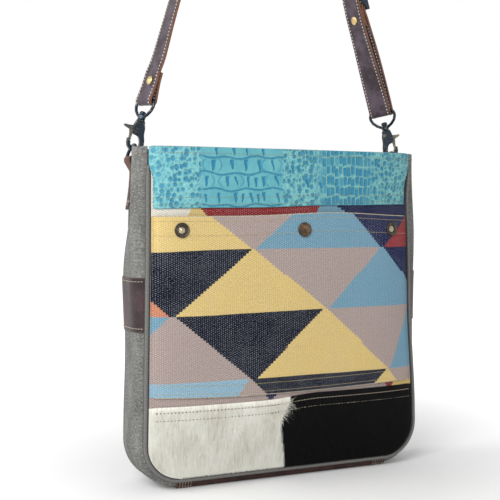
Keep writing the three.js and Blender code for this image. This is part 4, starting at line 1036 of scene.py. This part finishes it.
# the strap's middle line in its own plane, from the left end's tail to the right end's, as (x, z) points
def strapLine():
    ply = strap["thickness"] + gap
    fold = strap["ringWire"] + gap + strap["thickness"] / 2
    slideFold = strap["slideRadius"] + gap + strap["thickness"] / 2
    barV, frameV = strap["slideBar"], strap["slideFrame"]
    bar, tail, leftRivet, rightRivet, slideAt = (
        strap[k] for k in ("ringBar", "tailEnd", "leftRivet", "rightRivet", "slide"))

    def at(sign, w, v):
        return onPull(sign, w, v)[[0, 2]]

    def bend(sign, w, v, radius, start, end, count):
        angle = np.linspace(start, end, count + 1)
        return list(onPull(sign, w + radius * np.sin(angle), v + radius * np.cos(angle))[:, [0, 2]])

    points = [at(-1, tail, -ply / 2), at(-1, leftRivet, -ply / 2), at(-1, leftRivet - 8, -ply / 2 - 0.5)]
    points += bend(-1, bar, 0, fold, math.pi, 2 * math.pi, 12)
    points += [at(-1, leftRivet - 8, ply / 2 + 0.5), at(-1, leftRivet, ply / 2), at(-1, tail, ply / 2),
               at(-1, tail + 12, 0)]
    points += [at(-1, w, 0) for w in (120, 180, 240, 290, 330)]
    crossing = strap["height"] + strap["across"] / math.tan(strap["lean"])
    centreZ = crossing - strap["apexRadius"] / math.sin(strap["lean"])
    angle = np.linspace(math.pi - strap["lean"], strap["lean"], 24)
    arch = strap["apexRadius"] * np.stack([np.cos(angle), np.sin(angle)], -1)
    points += list(arch + [0, centreZ])
    low, high = slideAt - strap["slidePitch"], slideAt + strap["slidePitch"]
    over, beside = barV + slideFold + ply, frameV - slideFold
    points += [at(1, w, 0) for w in (330, 290, 240)] + [
        at(1, high + 14, 0), at(1, high, beside), at(1, slideAt + 4, over - 0.6), at(1, slideAt, over),
        at(1, slideAt - 4, over - 0.6), at(1, low, beside), at(1, rightRivet, 1.6), at(1, 110, 3.4),
        at(1, 70, 3.6)]
    points += bend(1, bar, 0, fold, 0, -math.pi, 12)
    points += [at(1, 70, -3.6), at(1, 110, -4.2), at(1, rightRivet, beside - 2 * ply - 0.2),
               at(1, low, beside - 2 * ply - 0.1), at(1, slideAt - 5, barV - slideFold - 0.1)]
    points += bend(1, slideAt, barV, slideFold, math.pi, 0, 10)
    points += [at(1, slideAt - 3, barV + slideFold - 0.5), at(1, low, beside - ply - 0.1),
               at(1, rightRivet, beside - ply - 0.2), at(1, rightRivet - 8, beside - ply - 0.3)]
    return np.array(points)


# a smooth line through points: Catmull-Rom with chord-length steps
def smoothLine(points, spacing):
    padded = np.concatenate([[2 * points[0] - points[1]], points, [2 * points[-1] - points[-2]]])
    result = []
    for a, b, c, d in zip(padded[:-3], padded[1:-2], padded[2:-1], padded[3:]):
        ta = np.linalg.norm(b - a) ** 0.5
        tb = np.linalg.norm(c - b) ** 0.5
        tc = np.linalg.norm(d - c) ** 0.5
        m1 = (c - b) + tb * ((b - a) / ta - (c - a) / (ta + tb))
        m2 = (c - b) + tb * ((d - c) / tc - (d - b) / (tb + tc))
        count = max(1, int(round(np.linalg.norm(c - b) / spacing)))
        t = (np.arange(count) / count)[:, None]
        result.append((2 * t ** 3 - 3 * t ** 2 + 1) * b + (t ** 3 - 2 * t ** 2 + t) * m1
                      + (-2 * t ** 3 + 3 * t ** 2) * c + (t ** 3 - t ** 2) * m2)
    return np.concatenate(result + [points[-1:]])


# the strap's leather at distances along its line: out of the line's plane, and across its width
def onStrap(off, width):
    flat = np.broadcast_arrays(line[:, :1] + lineNormal[:, :1] * off, strap["setback"] + width,
                               line[:, 1:] + lineNormal[:, 1:] * off)
    return twisted(np.stack(flat, -1))


line = smoothLine(strapLine(), 2.0)
tangent = unit(np.gradient(line, axis=0))
lineNormal = np.stack([-tangent[:, 1], tangent[:, 0]], -1)
halfW, halfT = strap["width"] / 2, strap["thickness"] / 2
# section: flat faces and cut edges with eased corners, as (across, off) shares; then its mirror image back
upper = np.array([[1, 0.55], [0.975, 0.9], [0.93, 1], [0.5, 1.0], [0, 1.0], [-0.5, 1.0], [-0.93, 1],
                  [-0.975, 0.9], [-1, 0.55]])
section = np.concatenate([upper[::-1] * [1, -1], upper])
uv = np.stack(np.broadcast_arrays(section[:, 0] * halfW, runAlong(line)[:, None]), -1)
reach = np.abs(section[:, 0])
onEdge = np.tile(np.minimum(reach, np.roll(reach, -1)) > 0.97, len(line) - 1)
strapPiece = ringed("shoulderStrap", onStrap(section[:, 1] * halfT, section[:, 0] * halfW), uv,
                    np.concatenate([onEdge, np.ones(2 * len(section))]))
finishPiece(strapPiece, "strap", [strapBrown, cutEdge], ["strap"])

threadRows = []
for face in (-1, 1):
    for edge in (-1, 1):
        width = edge * (halfW - strap["seamInset"])
        row = onStrap(np.array([halfT, halfT + 1]) * face, width)
        threadRows.append((row[:, 0], unit(row[:, 1] - row[:, 0]), 3.4, 2.0))
finishPiece(stitches("strapStitches", threadRows, 0.5), "strap", [paleThread])
print("strap made")

# metal: rivets, snaps, and soft-edged copies of the castings


# a point of the strap on its line of pull, and the way out of its face there
def pullAxis(sign, w, v, outwards):
    seat = twisted(onPull(sign, w, v)[None])[0]
    return seat, twisted(onPull(sign, w, v + outwards)[None])[0] - seat


# profiles as (radius, height off the seat)
rivet = [(0, 1.75), (0.9, 1.7), (1.15, 1.5), (1.5, 1.52), (2.4, 1.5), (3.4, 1.25), (4.0, 0.9), (4.4, 0.45),
         (4.4, 0.3), (0, 0.3)]
capRing = [(3.6, 0.35), (3.8, 0.9), (4.1, 1.15), (4.5, 1.0), (4.9, 0.75), (5.6, 0.8), (6.1, 1.25),
           (6.6, 1.35), (7.0, 0.95), (7.0, 0.3), (3.6, 0.3)]
capEye = [(0, 2.5), (0.6, 2.4), (1.3, 2.05), (2.0, 1.55), (2.7, 1.05), (3.2, 0.7), (3.5, 0.5), (3.5, 0.3),
          (0, 0.3)]
capFlat = [(0, 1.35), (0.9, 1.35), (1.3, 1.15), (2.0, 1.15), (2.4, 1.45), (3.0, 1.45), (3.4, 1.15),
           (4.2, 1.15), (4.6, 1.45), (5.1, 1.45), (5.5, 1.2), (6.0, 1.3), (6.5, 1.5), (7.0, 1.1), (7.0, 0.3),
           (0, 0.3)]

ply = strap["thickness"] + gap
leftFace = ply / 2 + halfT
rightFace = strap["slideFrame"] - (strap["slideRadius"] + gap + halfT) - 2 * ply - 0.2 - halfT
for name, node, sign, w, v in (("rivetLeft", "strap_rivet_left", -1, strap["leftRivet"], leftFace),
                               ("rivetRight", "strap_rivet_right", 1, strap["rightRivet"], rightFace)):
    head = turned(name, rivet, *pullAxis(sign, w, v, -sign))
    finishPiece(head, "strap", [brass], [node])


# a snap's seat on the pocket, and the way out of the cloth there
def onPocketSeat(across):
    z, reach = patches["snapHeight"], 5
    dx = pocketPoint(across + reach, z) - pocketPoint(across - reach, z)
    dz = pocketPoint(across, z + reach) - pocketPoint(across, z - reach)
    return pocketPoint(across, z), np.cross(dx, dz)


for sideName, across in zip(("Left", "Centre", "Right"), patches["snapAcross"]):
    seat, node = onPocketSeat(across), "snap_cap_" + sideName.lower()
    if sideName == "Centre":
        finishPiece(turned("snapCapCentre", capFlat, *seat), "bag", [bronze], [node])
        continue
    finishPiece(turned("snapRing" + sideName, capRing, *seat), "bag", [snapDark], [node])
    finishPiece(turned("snapEye" + sideName, capEye, *seat), "bag", [eyeMetal])

# castings: (node, the body it rides on, slot, finish, voxel in millimetres)
castings = [("clasp_body_", "clasp_", "gunmetal", gunmetal, 0.3),
            ("clasp_trigger_", "trigger_", "gate_metal", gateMetal, 0.22),
            ("trigger_pin_", "clasp_", "gate_metal", gateMetal, 0.15),
            ("clasp_ring_", "strap", "gunmetal", gunmetal, 0.3),
            ("d_ring_", "d_ring_", "gunmetal", gunmetal, 0.33),
            ("ring_tab_", "bag", "tab_leather", tabBrown, 0.65)]
for end in ("left", "right"):
    for start, carrier, slotName, finish, voxel in castings:
        node, carrier = start + end, carrier + end if carrier.endswith("_") else carrier
        piece = castCopy(node.replace("_", "") + "Cast", node, voxel)
        finishPiece(piece, carrier, [finish], [node])
slide = castCopy("slideCast", "strap_slide", 0.4)
finishPiece(slide, "strap", [gunmetal], ["strap_slide"])
print("metal made")

# thread on the body


# a row of stitches at a distance from a patch's edge, between two places across the front
def edgeRow(edge, offset, reach, place, lift, pitch, length):
    x = np.linspace(*(reach if np.ndim(reach) else (-reach, reach)), 200)
    path = place(x, edge(x) + offset, lift)
    return path, unit(place(x, edge(x) + offset, lift + 1.0) - path), pitch, length


# the seam near the mouth drops by a millimetre on the right
def bandTopSeam(x):
    return 314.6 - smooth(x, 60, 140)


rows = [edgeRow(edge, offset, reach, layerPoint, bandLift, 2.7, 1.7)
        for edge, offset, reach in ((bandTopSeam, 0, 138.5), (bandEdge, 9.6, 138), (bandEdge, 3.0, 138))]
finishPiece(stitches("bandStitches", rows, 0.26), "bag", [tanThread])
rows = [edgeRow(hideEdge, offset, reach, layerPoint, hideLift + 0.4, 3.4, 2.6)
        for offset, reach in ((-4.5, 138), (-11.8, 138.5))]
finishPiece(stitches("hideStitches", rows, 0.3), "bag", [creamThread])
holes = [edgeRow(hideEdge, offset, (-138, -14), layerPoint, hideLift + 0.55, 3.4, 0.7)
         for offset in (-4.3, -11.6)]
finishPiece(stitches("needleHoles", holes, 0.62), "bag", [holeBrown])
rows = [edgeRow(edge, offset, 138, pocketPoint, 0.1, 2.8, 2.0)
        for edge, offset in ((pocketMouth, -4.2), (pocketMouth, -17.5), (pocketFoot, 10.5), (pocketFoot, 2.8))]
finishPiece(stitches("pocketStitches", rows, 0.25), "bag", [yellowThread])
rows = [(*gussetLine(run, 0.96, 0.95), 3.0, 2.2) for run in (
    bandTop + 3.2, bandLow - 3.2, 2 * halfRun - bandLow + 3.2, 2 * halfRun - bandTop - 3.2)]
rows += [(*gussetLine(halfRun + end * (111 - 2.8 * k), 0.95, gap + baseLeather["thickness"]), 3.2, 2.6)
         for end in (-1, 1) for k in range(5)]
finishPiece(stitches("sideStitches", rows, 0.36), "bag", [creamThread])
rows = [(*gussetLine(run, 0.98, 0.15), 2.8, 1.8) for run in (5.4, 2 * halfRun - 5.4)]
finishPiece(stitches("hemStitches", rows, 0.28), "bag", [tanThread])

# hair: narrow curved blades that lie down the hide

hair = dict(count=23000, seed=11, length=(7, 13), width=0.34, rise=(0.25, 1.1))
random = np.random.default_rng(hair["seed"])
count = hair["count"]
rootZ = body["seamLift"] + 6 + (patches["hideTop"] - body["seamLift"] - 5) * random.random(count)
rootX = (random.random(count) * 2 - 1) * halfWidth(rootZ, edgeInset + 0.6)
length = random.uniform(*hair["length"], count)
length = np.minimum(length, (rootZ - body["seamLift"] - edgeInset + 1.0).clip(2.5))
rise = random.uniform(*hair["rise"], count)
drift = random.normal(0, 0.09, count) + 0.05 * np.sin(rootX / 11)
# tufts of white just left of the border's top lie across the black, and a few stand up over the kilim
fan = (rootZ > patches["hideTop"] - 16) & (rootX > -24) & (rootX < 4)
drift = np.where(fan, random.uniform(0.1, 1.1, count), drift)
climb = np.where(fan, random.uniform(-0.9, 0.6, count), -1.0)
share = np.linspace(0, 1, 4)
x = rootX[:, None] + (drift * length)[:, None] * share
z = rootZ[:, None] + (climb * length)[:, None] * share
x = np.clip(x, -halfWidth(z, edgeInset - 0.4), halfWidth(z, edgeInset - 0.4))
lift = gap + patches["hideThickness"] + 0.1 + rise[:, None] * np.sin(share * math.pi * 0.75)
spine = frontPoint(x, z, caught(x, z, lift))
wide = hair["width"] / 2 * np.array([1.0, 0.95, 0.7, 0.1])[:, None] * np.array([1.0, 0, 0])
points = np.stack([spine - wide, spine + wide], 2)
quads = (gridQuads(4, 2)[None] + np.arange(count)[:, None, None] * 8).reshape(-1, 4)
rootUv = np.repeat(np.stack([rootX, rootZ], -1), 8, axis=0)
hairs = makeMesh("hideHairs", points.reshape(-1, 3), quads, rootUv)
finishPiece(hairs, "bag", [hairFinish])
print("thread and hair made")

# every other node gets its finish

finishes = dict(kilim=kilimGround, canvas=canvas, turquoise=turquoise, hide=hideSkin, lining=lining,
                piping=pipingCloth, band_leather=bandLeather, base_leather=baseBrown, tab_leather=tabBrown,
                strap_leather=strapBrown, gunmetal=gunmetal, gate_metal=gateMetal, snap_bronze=bronze,
                brass=brass, zip_tape=zipCloth)
for part in frame["record"]["subparts"]:
    node = frame["nodes"][part["node"]]
    if node.hide_render:
        continue
    node.data.materials.clear()
    finish = gateMetal if "tab_rivet" in part["node"] else finishes[part["material_slot"]]
    node.data.materials.append(finish.material)

# camera, light and floor

view = dict(place=(-0.437, -0.898, 0.257), yaw=math.radians(24.5), pitch=math.radians(-2.0), lens=72,
            sensor=36)
camera = bpy.data.objects.new("camera", bpy.data.cameras.new("camera"))
bpy.context.scene.collection.objects.link(camera)
camera.location = view["place"]
level = math.cos(view["pitch"])
look = Vector((math.sin(view["yaw"]) * level, math.cos(view["yaw"]) * level, math.sin(view["pitch"])))
camera.rotation_euler = look.to_track_quat("-Z", "Y").to_euler()
camera.data.lens, camera.data.sensor_width = view["lens"], view["sensor"]
camera.data.clip_start, camera.data.clip_end = 0.01, 30
bpy.context.scene.camera = camera


# 1 for rays that come straight from the camera, or from it by way of the given kinds
def seenBy(tree, *kinds):
    outputs = tree.nodes.new("ShaderNodeLightPath").outputs
    seen = Num(tree, outputs["Is Camera Ray"])
    for kind in kinds:
        seen = seen.most(Num(tree, outputs[kind]))
    return seen


# the floor glows more the further it is from the bag, so that it fades into the white
floorFinish = Finish("floor", rough=0.9)
floorFinish.shader.inputs["Base Color"].default_value = (0.86, 0.86, 0.86, 1)
_, fx, fy, _ = floorFinish.where("Object")
away = (fx ** 2.0 + fy ** 2.0) ** 0.5
strength = seenBy(floorFinish.tree, "Is Glossy Ray") * (away.ramp(0.16, 0.65) * 0.62 + 0.05)
glow = floorFinish.node("ShaderNodeEmission", Color=(1, 1, 1, 1), Strength=strength)
shaded = Num(floorFinish.tree, floorFinish.shader.outputs[0])
both = floorFinish.node("ShaderNodeAddShader", i0=shaded, i1=glow)
floorFinish.tree.links.new(both.socket, floorFinish.tree.nodes["Material Output"].inputs["Surface"])
size, sink = 6.0, -0.0003
floorMesh = bpy.data.meshes.new("floor")
corners = [(-size, -size, sink), (size, -size, sink), (size, size * 2, sink), (-size, size * 2, sink)]
floorMesh.from_pydata(corners, [], [(0, 1, 2, 3)])
floor = bpy.data.objects.new("floor", floorMesh)
bpy.context.scene.collection.objects.link(floor)
floorMesh.materials.append(floorFinish.material)

world = bpy.data.worlds.new("studio")
bpy.context.scene.world = world
world.use_nodes = True
tree = world.node_tree
background = tree.nodes["Background"]
background.inputs["Color"].default_value = (1, 1, 1, 1)
brightness = seenBy(tree, "Is Glossy Ray", "Is Transmission Ray") * 0.45 + 0.55
tree.links.new(brightness.socket, background.inputs["Strength"])


# a square lamp that faces a target
def softBox(name, place, target, width, power):
    light = bpy.data.lights.new(name, "AREA")
    light.shape, light.size, light.energy = "SQUARE", width, power
    lamp = bpy.data.objects.new(name, light)
    bpy.context.scene.collection.objects.link(lamp)
    lamp.location = place
    lamp.rotation_euler = (Vector(target) - Vector(place)).to_track_quat("-Z", "Y").to_euler()


softBox("keyLight", (-1.05, -1.0, 1.1), (-0.05, 0, 0.25), 0.8, 16.5)
softBox("leftLight", (-1.5, 0.35, 0.9), (0, 0, 0.2), 0.8, 9)
softBox("fillLight", (1.5, -1.5, 0.9), (0, 0, 0.2), 1.2, 1.6)
bpy.context.scene.view_settings.view_transform = "Standard"

print("scene ready")
